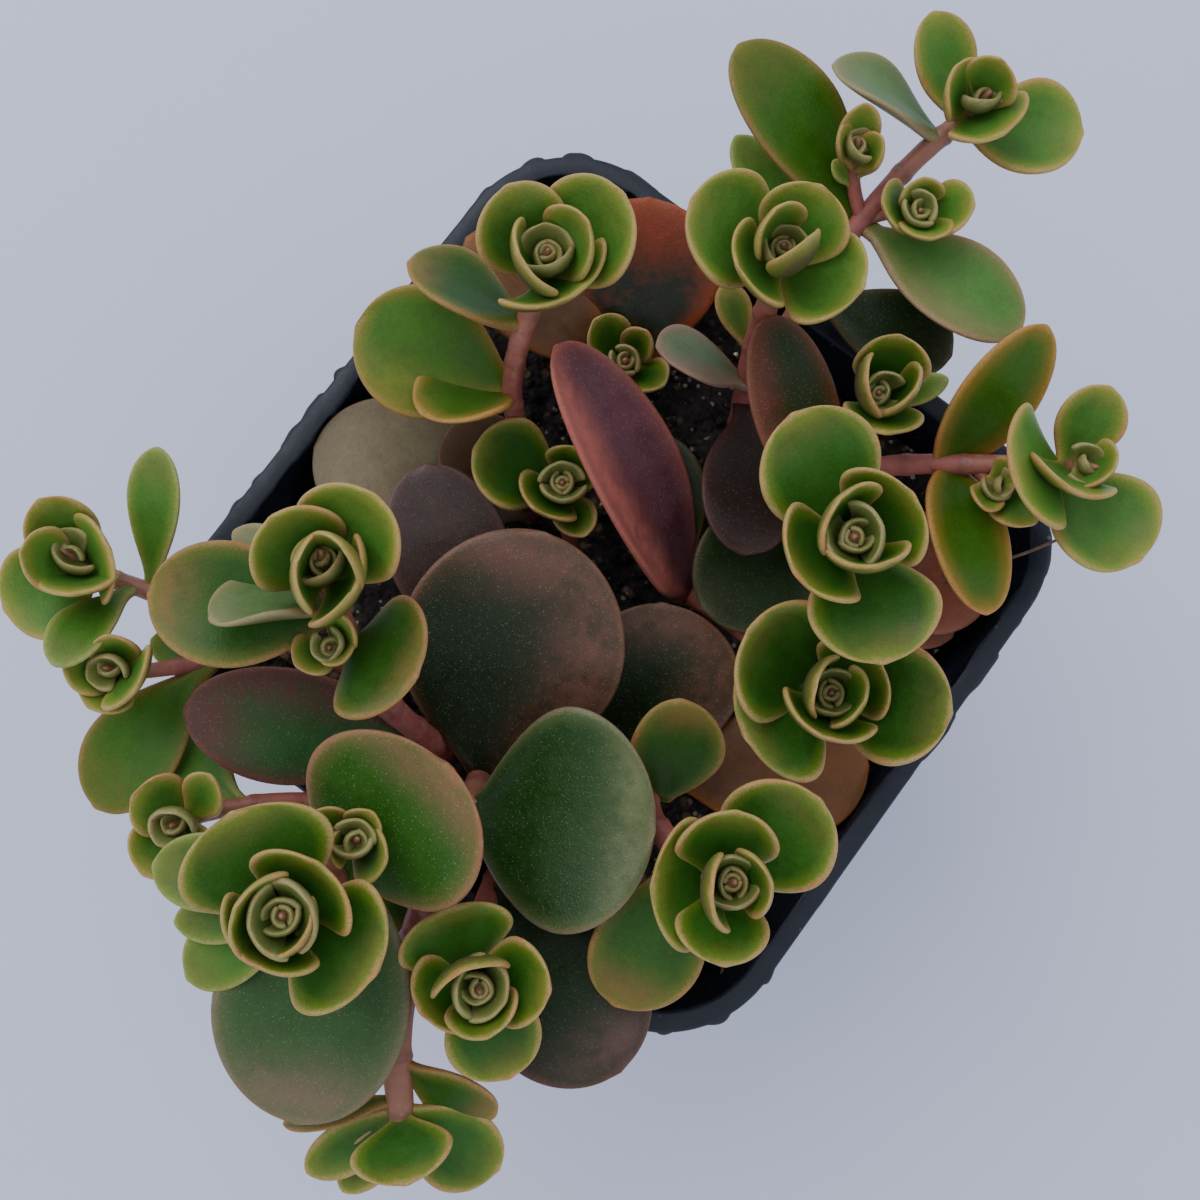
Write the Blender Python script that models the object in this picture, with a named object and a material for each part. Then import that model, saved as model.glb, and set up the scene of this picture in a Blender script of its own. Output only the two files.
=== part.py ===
"""Potted makino stonecrop: a small square nursery pot, its soil and the leafy shoots that root in it.

Lengths in the layout are millimetres and the scene is in metres, +Z up. The origin is the centre of the
pot's base. The layout is drawn in plan, seen from above with the plant's back upwards, and the whole plant
is turned by PLANT_TURN so that the pot's sides lie along X and Y.
"""
import math
import random
from dataclasses import dataclass

import bmesh
import bpy
from mathutils import Matrix, Vector

MM = 0.001

# Pot
POT_HEIGHT = 62.0
RIM_HALF = 35.0
RIM_CORNER = 12.3
RIM_WIDE = 2.2
LIP_DEEP = 4.0
BODY_TOP_HALF = 33.4
BODY_TOP_CORNER = 10.9
BASE_HALF = 25.0
BASE_CORNER = 8.0
WALL = 1.0
FLOOR = 1.5
EDGE = 0.4
DRAIN_RADIUS = 3.0
DRAIN_OUT = 14.0
CORNER_STEPS = 4

# Soil
SOIL_TOP = 54.5
SOIL_BUMP = 0.7
CLEAR = 0.3
SOIL_RINGS = (0.8, 0.42)
SOIL_SEED = 11

# Stems
PLANT_TURN = math.radians(36.6)
ROOT_DEEP = 5.0
ROOT_STANDS = 1.2
HOLE_SIDES = 8
THIN_STEM = 1.15
NECK_WIDE = 0.9
BUD_SHARE = 0.7
BUD_WIDE = 0.75
BUD_POINT = 0.15

# Leaves, where shares are of a blade's length
BASE_HALF_WIDE = 0.45
BASE_PER_WIDE = 0.06
SPOON = (0.66, 1.25)
OVAL = (0.6, 0.95)
ROUND = (0.56, 0.72)
BROAD = (0.52, 0.5)
LEAF_THICK = 0.42
LEAF_THICK_PER_WIDE = 0.085
LEAF_THICKEST = 1.7
LEAF_THINS = 0.35
LEAF_SECTION = ((-1, 0), (0, 1), (1, 0), (0, -1))
LONG_LEAF = 12.0
LONG_BANDS = (0.0, 0.27, 0.58, 0.88)
SHORT_BANDS = (0.0, 0.42, 0.86)
CUP_FULL = 1 / 3
PAIR_CLIMB = 0.14
INNER_BASE = 0.42
INNER_OUT = 0.62
INNER_CUP = 0.3


@dataclass
class Leaf:
    """One blade, from its base on the stem to its tip; roll above zero lifts its left margin.

    An outline is the share of the length where the blade is widest, and the power of its rise to there.
    """

    tip: tuple
    wide: float
    base: tuple = None
    roll: float = 0.0
    cup: float = 0.08
    curl: float = 0.0
    outline: tuple = SPOON


@dataclass
class Head:
    """A rosette: its outer leaves leave the neck, and smaller pairs close round the bud."""

    neck: tuple
    bud: tuple
    leaves: tuple
    inner_turn: float
    inner_wide: float


@dataclass
class Stem:
    """A stem through its points, with the rosette that ends it, if it has one."""

    points: tuple
    radius: float
    head: Head = None


@dataclass
class Shoot:
    """One rooted shoot: its first stem stands in the soil at root, and the others branch from it."""

    name: str
    root: tuple
    stems: tuple
    leaves: tuple
    green: tuple


YOUNG_GREEN = (0.085, 0.19, 0.03)
MID_GREEN = (0.055, 0.13, 0.03)
OLD_GREEN = (0.035, 0.06, 0.025)


def ring_leaf(tip, wide, roll=0.0, cup=0.2, curl=0.06):
    """A rosette's outer leaf, more cupped than an old leaf."""
    return Leaf(tip, wide, None, roll, cup, curl, OVAL)


SHOOTS = (
    Shoot("shoot_back_left", (-9.0, 8.0), (
        Stem(((-9.6, 13.2, 62.0), (-10.5, 18.0, 70.0), (-9.0, 23.0, 75.0)), 1.0,
             Head((-7.6, 25.6, 77.0), (-7.2, 26.6, 83.0), (
                 ring_leaf((-11.2, 32.2, 84.0), 8.6),
                 ring_leaf((-0.3, 31.6, 84.0), 10.0),
                 ring_leaf((-5.0, 21.7, 82.5), 10.8, 0, 0.24),
                 ring_leaf((-2.8, 28.3, 86.0), 6.6, 0, 0.26),
                 ring_leaf((-10.6, 24.5, 85.5), 7.3, 0, 0.26)), 97.0, 4.0)),),
          (Leaf((-19.8, 26.7, 78.5), 9.0, (-9.2, 22.3, 74.0), 38, outline=OVAL),
           Leaf((-25.1, 22.8, 72.0), 12.4, (-10.5, 18.0, 68.5), -8, outline=OVAL),
           Leaf((-18.8, 14.1, 73.5), 9.6, (-10.4, 17.6, 67.5), 38, 0.16, outline=OVAL),
           Leaf((-16.9, 15.6, 61.0), 9.0, (-9.0, 8.0, 57.2)),
           Leaf((-30.4, 13.5, 61.2), 15.6, (-9.0, 8.0, 56.8), outline=OVAL)), MID_GREEN),
    Shoot("shoot_low_middle", (-4.4, 3.6), (
        Stem(((-5.0, 6.4, 60.0),), 0.8,
             Head((-5.5, 9.2, 62.5), (-5.7, 8.8, 68.0), (
                 ring_leaf((-14.6, 12.2, 67.0), 9.0),
                 ring_leaf((-8.9, 5.6, 68.5), 6.9),
                 ring_leaf((-3.4, 3.8, 65.0), 4.3),
                 ring_leaf((-3.6, 12.4, 68.0), 5.8)), 90.0, 3.6)),),
          (), MID_GREEN),
    Shoot("shoot_low_back", (3.0, 18.5), (
        Stem((), 0.9,
             Head((1.0, 22.6, 59.0), (0.6, 21.9, 64.5), (
                 ring_leaf((-2.9, 26.2, 64.0), 5.2),
                 ring_leaf((3.2, 25.0, 65.0), 3.8),
                 ring_leaf((4.8, 18.9, 64.5), 4.5),
                 ring_leaf((-1.9, 19.2, 64.5), 3.8)), 45.0, 2.6)),),
          (Leaf((3.0, 38.4, 65.0), 15.6, (1.6, 21.0, 57.2)),
           Leaf((-15.2, 34.0, 65.0), 10.9, (1.4, 21.4, 57.8))), OLD_GREEN),
    Shoot("shoot_back", (13.0, 16.5), (
        Stem(((13.0, 20.5, 62.0), (13.2, 23.0, 67.0), (13.9, 26.0, 74.0)), 1.1,
             Head((14.2, 27.0, 76.0), (13.6, 27.6, 82.5), (
                 ring_leaf((4.8, 31.6, 82.0), 10.6),
                 ring_leaf((21.2, 23.6, 81.0), 9.4),
                 ring_leaf((17.1, 33.0, 83.0), 8.4),
                 ring_leaf((8.7, 25.0, 82.0), 8.4, 0, 0.26),
                 ring_leaf((11.4, 30.2, 86.0), 5.6, 0, 0.28),
                 ring_leaf((15.4, 25.2, 86.0), 5.4, 0, 0.28)), 50.0, 3.6)),),
          (Leaf((3.4, 21.8, 69.5), 7.0, (13.1, 20.0, 62.0), 30),
           Leaf((12.0, 2.0, 67.5), 9.9, (13.0, 18.6, 60.0), -12),
           Leaf((10.3, 29.0, 67.0), 3.6, (13.1, 22.4, 65.5))), MID_GREEN),
    Shoot("shoot_back_right_long", (14.5, 22.5), (
        Stem(((17.3, 26.3, 64.0), (23.4, 34.6, 70.0), (29.3, 40.9, 72.0)), 1.0,
             Head((32.4, 43.4, 73.0), (34.0, 44.2, 78.0), (
                 ring_leaf((28.6, 52.3, 76.5), 6.2),
                 ring_leaf((43.9, 41.9, 73.0), 9.4),
                 ring_leaf((35.2, 39.5, 78.5), 8.4, 0, 0.16),
                 ring_leaf((29.4, 45.6, 80.0), 5.8),
                 ring_leaf((34.6, 46.5, 80.5), 5.6, 0, 0.26)), 70.0, 3.0)),
        Stem(((23.4, 34.6, 70.0), (26.4, 35.2, 70.5)), 0.7,
             Head((28.1, 34.4, 71.5), (27.8, 33.6, 75.5), (
                 ring_leaf((33.0, 33.6, 76.0), 5.6),
                 ring_leaf((23.6, 34.2, 75.5), 5.2),
                 ring_leaf((27.6, 36.6, 76.5), 4.4),
                 ring_leaf((28.4, 30.0, 76.0), 5.2)), 45.0, 2.8)),
        Stem(((23.4, 34.6, 70.0), (22.4, 37.0, 71.5)), 0.7,
             Head((22.1, 38.6, 72.5), (21.7, 39.8, 77.0), (
                 ring_leaf((21.6, 42.7, 79.0), 4.0),
                 ring_leaf((24.1, 39.6, 78.0), 3.4),
                 ring_leaf((19.6, 40.8, 77.5), 3.4)), 60.0, 2.4))),
          (Leaf((10.7, 49.2, 76.0), 10.0, (22.6, 34.4, 69.0), 8, outline=OVAL),
           Leaf((38.4, 23.4, 71.0), 9.8, (24.0, 34.0, 69.6), -10, outline=OVAL),
           Leaf((33.3, 22.6, 65.0), 8.9, (19.0, 28.7, 65.2)),
           Leaf((11.4, 43.5, 68.5), 5.2, (20.3, 30.8, 66.8)),
           Leaf((19.4, 46.8, 77.0), 8.4, (30.6, 41.8, 72.2), 38, 0.12, outline=OVAL),
           Leaf((20.0, 39.0, 73.4), 2.0, (22.3, 37.4, 71.5)),
           Leaf((24.3, 39.0, 74.8), 1.8, (22.2, 38.0, 72.0))), YOUNG_GREEN),
    Shoot("shoot_right_back", (22.8, 15.4), (
        Stem(((23.8, 16.4, 64.0),), 0.9,
             Head((24.4, 16.6, 70.0), (23.3, 15.9, 76.0), (
                 ring_leaf((25.3, 21.8, 76.0), 7.2),
                 ring_leaf((24.0, 11.6, 76.0), 7.6, 0, 0.14),
                 ring_leaf((20.4, 16.0, 78.5), 5.9, 0, 0.26),
                 ring_leaf((26.9, 14.8, 78.5), 5.9, 0, 0.26)), 90.0, 3.4)),),
          (Leaf((31.0, 18.4, 71.5), 2.8, (24.2, 16.6, 68.0)),), YOUNG_GREEN),
    Shoot("shoot_tall_right", (20.3, 5.5), (
        Stem(((19.8, 3.5, 68.0),), 1.3,
             Head((19.3, 1.3, 81.0), (17.9, 0.4, 89.5), (
                 ring_leaf((13.3, 11.5, 86.0), 11.2, 0, 0.12),
                 ring_leaf((21.0, -9.9, 84.8), 11.4, 0, 0.12),
                 ring_leaf((23.6, 4.6, 88.0), 9.6, 0, 0.24),
                 ring_leaf((12.3, -3.0, 88.0), 9.6, 0, 0.24),
                 ring_leaf((15.6, 4.1, 90.5), 7.2, 0, 0.28),
                 ring_leaf((19.4, -3.4, 90.5), 7.0, 0, 0.28)), 20.0, 4.6)),),
          (Leaf((13.9, 24.1, 72.4), 9.4, (19.7, 3.6, 68.0), 18, outline=OVAL),
           Leaf((8.3, -2.9, 63.6), 12.8, (20.2, 5.2, 60.0), outline=ROUND),
           Leaf((38.2, -1.0, 60.6), 12.6, (20.3, 5.4, 56.9)),
           Leaf((34.4, -5.2, 58.6), 8.0, (20.3, 5.2, 56.4))), YOUNG_GREEN),
    Shoot("shoot_right", (7.0, -0.6), (
        Stem(((8.8, -1.8, 58.8), (13.4, -5.8, 62.6), (17.6, -10.6, 69.0)), 1.0,
             Head((18.5, -11.9, 71.5), (18.1, -11.8, 78.0), (
                 ring_leaf((29.1, -13.9, 78.0), 11.0),
                 ring_leaf((10.0, -5.9, 78.0), 11.8),
                 ring_leaf((10.7, -15.9, 74.0), 12.4, 0, 0.16),
                 ring_leaf((22.9, -8.6, 77.5), 8.6, 0, 0.24),
                 ring_leaf((16.3, -16.7, 80.0), 8.8, 0, 0.26),
                 ring_leaf((14.9, -10.6, 81.0), 5.8, 0, 0.28),
                 ring_leaf((21.3, -13.0, 81.0), 5.8, 0, 0.28)), 100.0, 3.9)),),
          (Leaf((-6.4, 20.2, 75.0), 12.6, (7.0, -0.8, 58.0), 36, 0.14),
           Leaf((3.4, 15.0, 61.5), 8.6, (7.0, -0.4, 57.0))), OLD_GREEN),
    Shoot("shoot_front_right", (3.2, -18.6), (
        Stem(((2.8, -20.4, 62.0), (3.1, -23.6, 67.0), (6.6, -27.4, 71.0)), 1.2,
             Head((8.4, -28.8, 74.0), (8.8, -28.0, 82.0), (
                 ring_leaf((1.6, -28.4, 79.5), 11.6, 0, 0.12),
                 ring_leaf((16.8, -20.7, 79.0), 10.8),
                 ring_leaf((8.8, -21.3, 82.0), 8.8),
                 ring_leaf((7.9, -35.5, 80.0), 8.2, 0, 0.16),
                 ring_leaf((12.5, -27.7, 84.0), 5.9, 0, 0.24),
                 ring_leaf((5.2, -28.8, 85.0), 6.6, 0, 0.24)), 95.0, 4.2)),),
          (Leaf((-0.9, -40.1, 69.0), 10.4, (6.0, -26.8, 70.0), outline=OVAL),
           Leaf((5.6, -12.2, 70.5), 9.2, (4.0, -21.4, 63.6), 6, outline=ROUND),
           Leaf((4.4, -2.3, 62.6), 16.2, (3.2, -18.8, 57.4), 0, 0.03, outline=ROUND),
           Leaf((25.2, -18.4, 60.0), 14.0, (3.4, -18.8, 56.6), 0, 0.03)), MID_GREEN),
    Shoot("shoot_front", (-10.0, -25.0), (
        Stem(((-11.6, -28.2, 60.0), (-13.0, -32.0, 66.0)), 1.1,
             Head((-13.8, -36.4, 72.5), (-12.7, -37.3, 80.0), (
                 ring_leaf((-16.0, -30.6, 75.5), 10.6, 0, 0.08),
                 ring_leaf((-18.2, -39.7, 77.0), 7.6),
                 ring_leaf((-6.2, -37.3, 79.0), 7.6),
                 ring_leaf((-10.3, -45.5, 74.0), 8.6, 0, 0.12),
                 ring_leaf((-11.8, -41.6, 80.0), 6.4, 0, 0.24),
                 ring_leaf((-14.4, -34.2, 82.0), 7.0, 0, 0.24)), -20.0, 4.4)),),
          (Leaf((-0.1, -46.5, 67.0), 16.2, (-12.4, -30.3, 63.8), outline=ROUND),), MID_GREEN),
    Shoot("shoot_front_left", (-18.0, -20.6), (
        Stem(((-20.4, -23.6, 63.0), (-24.0, -26.5, 71.0), (-27.2, -29.2, 78.0)), 1.2,
             Head((-28.6, -30.7, 80.5), (-28.1, -30.0, 88.5), (
                 ring_leaf((-33.0, -21.8, 84.5), 13.2, 0, 0.14),
                 ring_leaf((-20.7, -35.2, 84.5), 11.6, 0, 0.16),
                 ring_leaf((-25.0, -25.4, 87.0), 9.8, 0, 0.22),
                 ring_leaf((-31.3, -34.2, 88.0), 9.2, 0, 0.26),
                 ring_leaf((-32.4, -28.8, 89.5), 7.4, 0, 0.28),
                 ring_leaf((-25.6, -32.6, 89.0), 5.6, 0, 0.28)), 200.0, 5.0)),
        Stem(((-24.4, -27.0, 72.4),), 0.8,
             Head((-24.0, -25.2, 77.0), (-23.0, -24.3, 82.0), (
                 ring_leaf((-27.3, -22.0, 81.0), 4.3),
                 ring_leaf((-20.0, -26.2, 82.0), 5.0),
                 ring_leaf((-25.8, -24.9, 81.5), 3.6),
                 ring_leaf((-21.6, -21.8, 81.5), 3.6)), 80.0, 2.9)),
        Stem(((-20.4, -23.6, 63.0), (-26.4, -21.8, 67.0), (-33.0, -21.6, 69.5), (-37.4, -22.4, 70.5)), 0.8,
             Head((-39.2, -22.9, 71.5), (-40.1, -23.5, 75.5), (
                 ring_leaf((-43.8, -20.8, 75.0), 5.9),
                 ring_leaf((-42.7, -28.0, 74.0), 6.2),
                 ring_leaf((-36.0, -18.8, 76.5), 4.2),
                 ring_leaf((-38.6, -26.4, 74.5), 4.0)), 60.0, 3.2))),
          (Leaf((-41.1, -26.8, 77.0), 6.8, (-27.2, -29.2, 76.5)),
           Leaf((-39.3, -31.8, 76.0), 4.4, (-27.4, -29.6, 77.5)),
           Leaf((-38.4, -36.6, 75.0), 6.6, (-27.0, -29.2, 76.6)),
           Leaf((-28.7, -49.0, 75.0), 17.2, (-24.6, -27.0, 72.6), 0, 0.04, outline=ROUND),
           Leaf((-15.6, -18.1, 81.0), 18.0, (-25.4, -27.7, 74.2), outline=ROUND),
           Leaf((-42.0, -15.4, 66.0), 6.0, (-35.0, -21.8, 69.9))), YOUNG_GREEN),
    Shoot("shoot_tall_left", (-17.4, -17.0), (
        Stem(((-18.6, -15.6, 64.0), (-21.9, -12.4, 71.5), (-25.0, -6.8, 77.0)), 1.2,
             Head((-25.8, -3.0, 80.5), (-25.6, -0.9, 88.5), (
                 ring_leaf((-20.9, 4.4, 88.0), 9.8),
                 ring_leaf((-30.2, 2.4, 88.5), 8.6, 0, 0.22),
                 ring_leaf((-21.9, -4.7, 88.5), 8.4, 0, 0.26),
                 ring_leaf((-22.6, 0.4, 91.0), 5.7, 0, 0.28),
                 ring_leaf((-28.4, -2.0, 90.5), 6.7, 0, 0.28)), 110.0, 3.6)),
        Stem(((-25.0, -6.8, 77.0),), 0.6,
             Head((-25.8, -7.4, 77.6), (-25.9, -8.2, 80.5), (
                 ring_leaf((-24.0, -5.4, 82.0), 4.4),
                 ring_leaf((-28.9, -9.8, 80.0), 4.2),
                 ring_leaf((-24.4, -9.8, 81.5), 3.2)), 20.0, 2.4))),
          (Leaf((-41.5, -3.6, 80.0), 11.0, (-25.2, -5.2, 78.0), 0, 0.1, outline=OVAL),
           Leaf((-35.3, -6.1, 84.0), 9.0, (-25.4, -4.2, 79.0), 58, 0.16, outline=OVAL),
           Leaf((-18.2, -10.8, 82.6), 11.8, (-24.2, -7.4, 76.0), 0, 0.1, outline=ROUND),
           Leaf((-40.0, -13.3, 72.0), 10.8, (-18.9, -15.3, 65.0), 0, 0.04, outline=OVAL),
           Leaf((-34.4, 2.0, 79.6), 4.0, (-25.6, -3.6, 79.6))), MID_GREEN),
    Shoot("shoot_left_long", (-22.6, -10.0), (
        Stem(((-27.4, -8.2, 63.0), (-32.6, -6.2, 66.4), (-43.7, -2.3, 70.5)), 0.9,
             Head((-48.4, -0.6, 71.5), (-50.3, 0.8, 75.8), (
                 ring_leaf((-52.2, 5.5, 77.0), 6.3),
                 ring_leaf((-56.0, -4.4, 73.0), 9.0, 0, 0.14),
                 ring_leaf((-48.6, -4.0, 78.5), 7.6, 0, 0.16),
                 ring_leaf((-45.4, 0.8, 77.5), 8.6, 0, 0.12),
                 ring_leaf((-53.6, 0.1, 78.8), 5.7, 0, 0.26)), 104.0, 3.3)),
        Stem(((-32.6, -6.2, 66.4), (-38.9, -8.4, 67.5)), 0.8,
             Head((-45.2, -9.7, 71.5), (-46.5, -9.6, 75.0), (
                 ring_leaf((-50.1, -9.7, 75.6), 5.0),
                 ring_leaf((-48.0, -13.3, 74.4), 5.3),
                 ring_leaf((-42.2, -12.0, 78.5), 6.8, 0, 0.16),
                 ring_leaf((-45.8, -6.4, 76.5), 4.4)), 38.0, 2.8))),
          (Leaf((-42.4, 10.3, 75.0), 5.3, (-43.6, -2.3, 70.4), -14),
           Leaf((-50.1, -9.5, 77.4), 5.4, (-45.2, -1.8, 70.8), 14),
           Leaf((-44.2, -6.6, 68.0), 3.6, (-38.6, -8.3, 67.4)),
           Leaf((-48.8, -22.1, 68.2), 8.8, (-38.6, -8.4, 67.5))), YOUNG_GREEN),
    Shoot("shoot_right_long", (19.6, 10.2), (
        Stem(((25.4, 11.0, 65.5), (36.5, 10.2, 71.0)), 1.0,
             Head((41.0, 9.8, 72.0), (43.2, 8.9, 77.0), (
                 ring_leaf((33.9, 8.0, 79.5), 12.0, 0, 0.1),
                 ring_leaf((47.8, 0.5, 73.0), 10.4),
                 ring_leaf((44.4, 16.6, 77.0), 6.2),
                 ring_leaf((39.3, 5.5, 80.0), 8.4, 0, 0.16),
                 ring_leaf((44.4, 7.8, 79.0), 5.4, 0, 0.26)), 80.0, 3.0)),
        Stem(((33.8, 10.4, 69.6),), 0.6,
             Head((34.9, 8.8, 70.6), (35.4, 7.4, 73.2), (
                 ring_leaf((38.2, 3.8, 73.6), 4.9),
                 ring_leaf((33.3, 5.0, 74.0), 3.4),
                 ring_leaf((36.8, 9.2, 74.5), 3.4)), 30.0, 2.3))),
          (Leaf((38.8, 22.1, 77.0), 8.0, (31.0, 10.6, 68.4), 24, outline=BROAD),
           Leaf((33.8, -4.2, 72.6), 8.4, (31.6, 10.6, 68.6), -16, outline=BROAD)), YOUNG_GREEN),
    Shoot("shoot_front_long", (-14.6, -24.4), (
        Stem(((-17.4, -28.0, 66.0), (-18.6, -32.0, 70.0), (-20.2, -40.0, 71.0), (-20.4, -46.0, 70.5)), 1.3,
             Head((-20.1, -49.0, 70.0), (-20.0, -53.4, 70.0), (
                 ring_leaf((-11.5, -54.8, 68.0), 7.6, 0, 0.12),
                 ring_leaf((-28.4, -54.6, 67.0), 4.6),
                 ring_leaf((-19.0, -54.6, 74.5), 9.0, 0, 0.16),
                 ring_leaf((-25.3, -56.5, 66.0), 4.2)), 60.0, 3.8)),),
          (Leaf((-11.6, -49.6, 70.0), 6.6, (-20.3, -44.7, 70.6), 36),
           Leaf((-30.5, -50.2, 70.0), 4.0, (-20.3, -48.2, 69.8), 55),
           Leaf((-21.6, -33.6, 67.0), 6.4, (-18.0, -29.6, 67.4))), MID_GREEN),
    Shoot("old_leaf_stem", (-12.4, -18.0), (
        Stem(((-13.4, -19.2, 60.0), (-14.0, -22.8, 66.4)), 1.4),
        Stem(((-12.4, -18.0, 58.4), (-14.4, -12.0, 58.2), (-15.4, -7.4, 58.4)), 0.9)),
          (Leaf((-9.0, 3.9, 71.0), 20.4, (-13.4, -19.2, 61.0), 0, 0.06),
           Leaf((2.7, -24.1, 73.0), 20.6, (-14.0, -22.8, 66.2), 0, 0.05, outline=ROUND),
           Leaf((-19.0, 11.0, 65.0), 12.0, (-15.2, -7.8, 58.4), outline=OVAL)), OLD_GREEN),
)


# Placing


def placed(point):
    """A plan point in millimetres, turned with the plant and scaled to metres."""
    spot = Matrix.Rotation(PLANT_TURN, 3, "Z") @ Vector(point)
    return spot * MM


def clear_scene():
    """Start from an empty file, whatever the script is opened in."""
    for thing in list(bpy.data.objects):
        bpy.data.objects.remove(thing, do_unlink=True)


def make_collection(name):
    """A new collection, linked to the scene."""
    group = bpy.data.collections.new(name)
    bpy.context.scene.collection.children.link(group)
    return group


def principled(name, colour, roughness):
    """A plain Principled BSDF material."""
    material = bpy.data.materials.new(name)
    material.use_nodes = True
    shader = material.node_tree.nodes["Principled BSDF"]
    shader.inputs["Base Color"].default_value = (*colour, 1.0)
    shader.inputs["Roughness"].default_value = roughness
    shader.inputs["Metallic"].default_value = 0.0
    return material


def object_from_mesh(name, mesh, group, material=None):
    """An object on a mesh, in its collection and with its material."""
    thing = bpy.data.objects.new(name, mesh)
    group.objects.link(thing)
    if material is not None:
        mesh.materials.append(material)
    return thing


# Lofts


def loft(name, rings, tip=None):
    """A closed solid through rings of equal point counts, capped at its ends or run out to a tip."""
    count = len(rings[0])
    points = [point for ring in rings for point in ring]
    faces = [tuple(reversed(range(count)))]
    for level in range(len(rings) - 1):
        low = level * count
        high = low + count
        for step in range(count):
            after = (step + 1) % count
            faces.append((low + step, low + after, high + after, high + step))
    last = (len(rings) - 1) * count
    if tip is None:
        faces.append(tuple(range(last, last + count)))
    else:
        points.append(tip)
        for step in range(count):
            faces.append((last + step, last + (step + 1) % count, len(points) - 1))
    mesh = bpy.data.meshes.new(name)
    mesh.from_pydata([tuple(point) for point in points], [], faces)
    solid = bmesh.new()
    solid.from_mesh(mesh)
    bmesh.ops.recalc_face_normals(solid, faces=solid.faces)
    solid.to_mesh(mesh)
    solid.free()
    return mesh


def rounded_square(half, corner, height):
    """Points round a square with round corners, at one height, in metres."""
    points = []
    centre = half - corner
    for quarter in range(4):
        start = quarter * math.pi / 2
        middle_x = centre * (1 if quarter in (0, 3) else -1)
        middle_y = centre * (1 if quarter in (0, 1) else -1)
        for step in range(CORNER_STEPS + 1):
            angle = start + step / CORNER_STEPS * math.pi / 2
            across = middle_x + corner * math.cos(angle)
            along = middle_y + corner * math.sin(angle)
            points.append(Vector((across, along, height)) * MM)
    return points


# Pot


def body_half(height):
    """Half the outer side of the tapered body at a height."""
    return BASE_HALF + (BODY_TOP_HALF - BASE_HALF) * height / (POT_HEIGHT - LIP_DEEP)


def body_corner(height):
    """The outer corner radius of the tapered body at a height."""
    return BASE_CORNER + (BODY_TOP_CORNER - BASE_CORNER) * height / (POT_HEIGHT - LIP_DEEP)


def make_pot(group, cutters):
    """The pot: one moulded shell with a turned-out lip and four drain holes round a solid middle."""
    lip_foot = POT_HEIGHT - LIP_DEEP
    mouth = RIM_HALF - RIM_WIDE
    mouth_corner = RIM_CORNER - RIM_WIDE
    throat = lip_foot - EDGE
    outline = (
        (BASE_HALF - EDGE, BASE_CORNER - EDGE, 0.0),
        (body_half(EDGE), body_corner(EDGE), EDGE),
        (body_half(lip_foot), body_corner(lip_foot), lip_foot),
        (RIM_HALF - EDGE, RIM_CORNER - EDGE, lip_foot),
        (RIM_HALF, RIM_CORNER, lip_foot + EDGE),
        (RIM_HALF, RIM_CORNER, POT_HEIGHT - EDGE),
        (RIM_HALF - EDGE, RIM_CORNER - EDGE, POT_HEIGHT),
        (mouth + EDGE, mouth_corner + EDGE, POT_HEIGHT),
        (mouth, mouth_corner, POT_HEIGHT - EDGE),
        (body_half(throat) - WALL, body_corner(throat) - WALL, throat),
        (body_half(FLOOR) - WALL, body_corner(FLOOR) - WALL, FLOOR),
    )
    mesh = loft("pot", [rounded_square(*row) for row in outline])
    pot = object_from_mesh("pot", mesh, group, principled("pot_plastic", (0.012, 0.016, 0.026), 0.45))
    for number, (side_x, side_y) in enumerate(((1, 1), (-1, 1), (-1, -1), (1, -1))):
        spot = (side_x * DRAIN_OUT, side_y * DRAIN_OUT, FLOOR / 2)
        hole = make_cutter(f"drain_{number}", spot, DRAIN_RADIUS, 4 * FLOOR, cutters)
        cut(pot, hole)
    return pot


def make_cutter(name, spot, radius, deep, cutters):
    """A round upright cutter, centred on a spot in millimetres."""
    mesh = bpy.data.meshes.new(name)
    solid = bmesh.new()
    bmesh.ops.create_cone(solid, cap_ends=True, segments=HOLE_SIDES, radius1=radius * MM,
                          radius2=radius * MM, depth=deep * MM)
    solid.to_mesh(mesh)
    solid.free()
    cutter = object_from_mesh(name, mesh, cutters)
    cutter.location = Vector(spot) * MM
    cutter.hide_render = True
    cutter.display_type = "WIRE"
    return cutter


def cut(piece, cutter):
    """Take one cutter out of a piece."""
    hole = piece.modifiers.new(cutter.name, "BOOLEAN")
    hole.operation = "DIFFERENCE"
    hole.object = cutter


# Soil


def make_soil(group, cutters):
    """The soil: it fills the pot to just under the rim, with a lumpy top and a plain hole for each stem."""
    draw = random.Random(SOIL_SEED)
    floor = FLOOR + CLEAR
    gap = WALL + CLEAR
    rings = []
    for height in (floor, SOIL_TOP - 2 * SOIL_BUMP):
        rings.append(rounded_square(body_half(height) - gap, body_corner(height) - gap, height))
    edge = rings[-1]
    for share in SOIL_RINGS:
        ring = []
        for point in edge:
            lift = (SOIL_TOP + draw.uniform(-SOIL_BUMP, SOIL_BUMP)) * MM
            ring.append(Vector((point.x * share, point.y * share, lift)))
        rings.append(ring)
    mesh = loft("soil", rings, Vector((0.0, 0.0, SOIL_TOP * MM)))
    soil = object_from_mesh("soil", mesh, group, principled("soil", (0.035, 0.024, 0.017), 0.95))
    for shoot in SHOOTS:
        reach = ROOT_DEEP + CLEAR
        turned = placed((*shoot.root, 0.0)) / MM
        spot = (turned.x, turned.y, SOIL_TOP)
        radius = (shoot.stems[0].radius + CLEAR) / math.cos(math.pi / HOLE_SIDES)
        hole = make_cutter(shoot.name + "_hole", spot, radius, 2 * reach, cutters)
        cut(soil, hole)
    return soil


# Leaves


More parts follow.
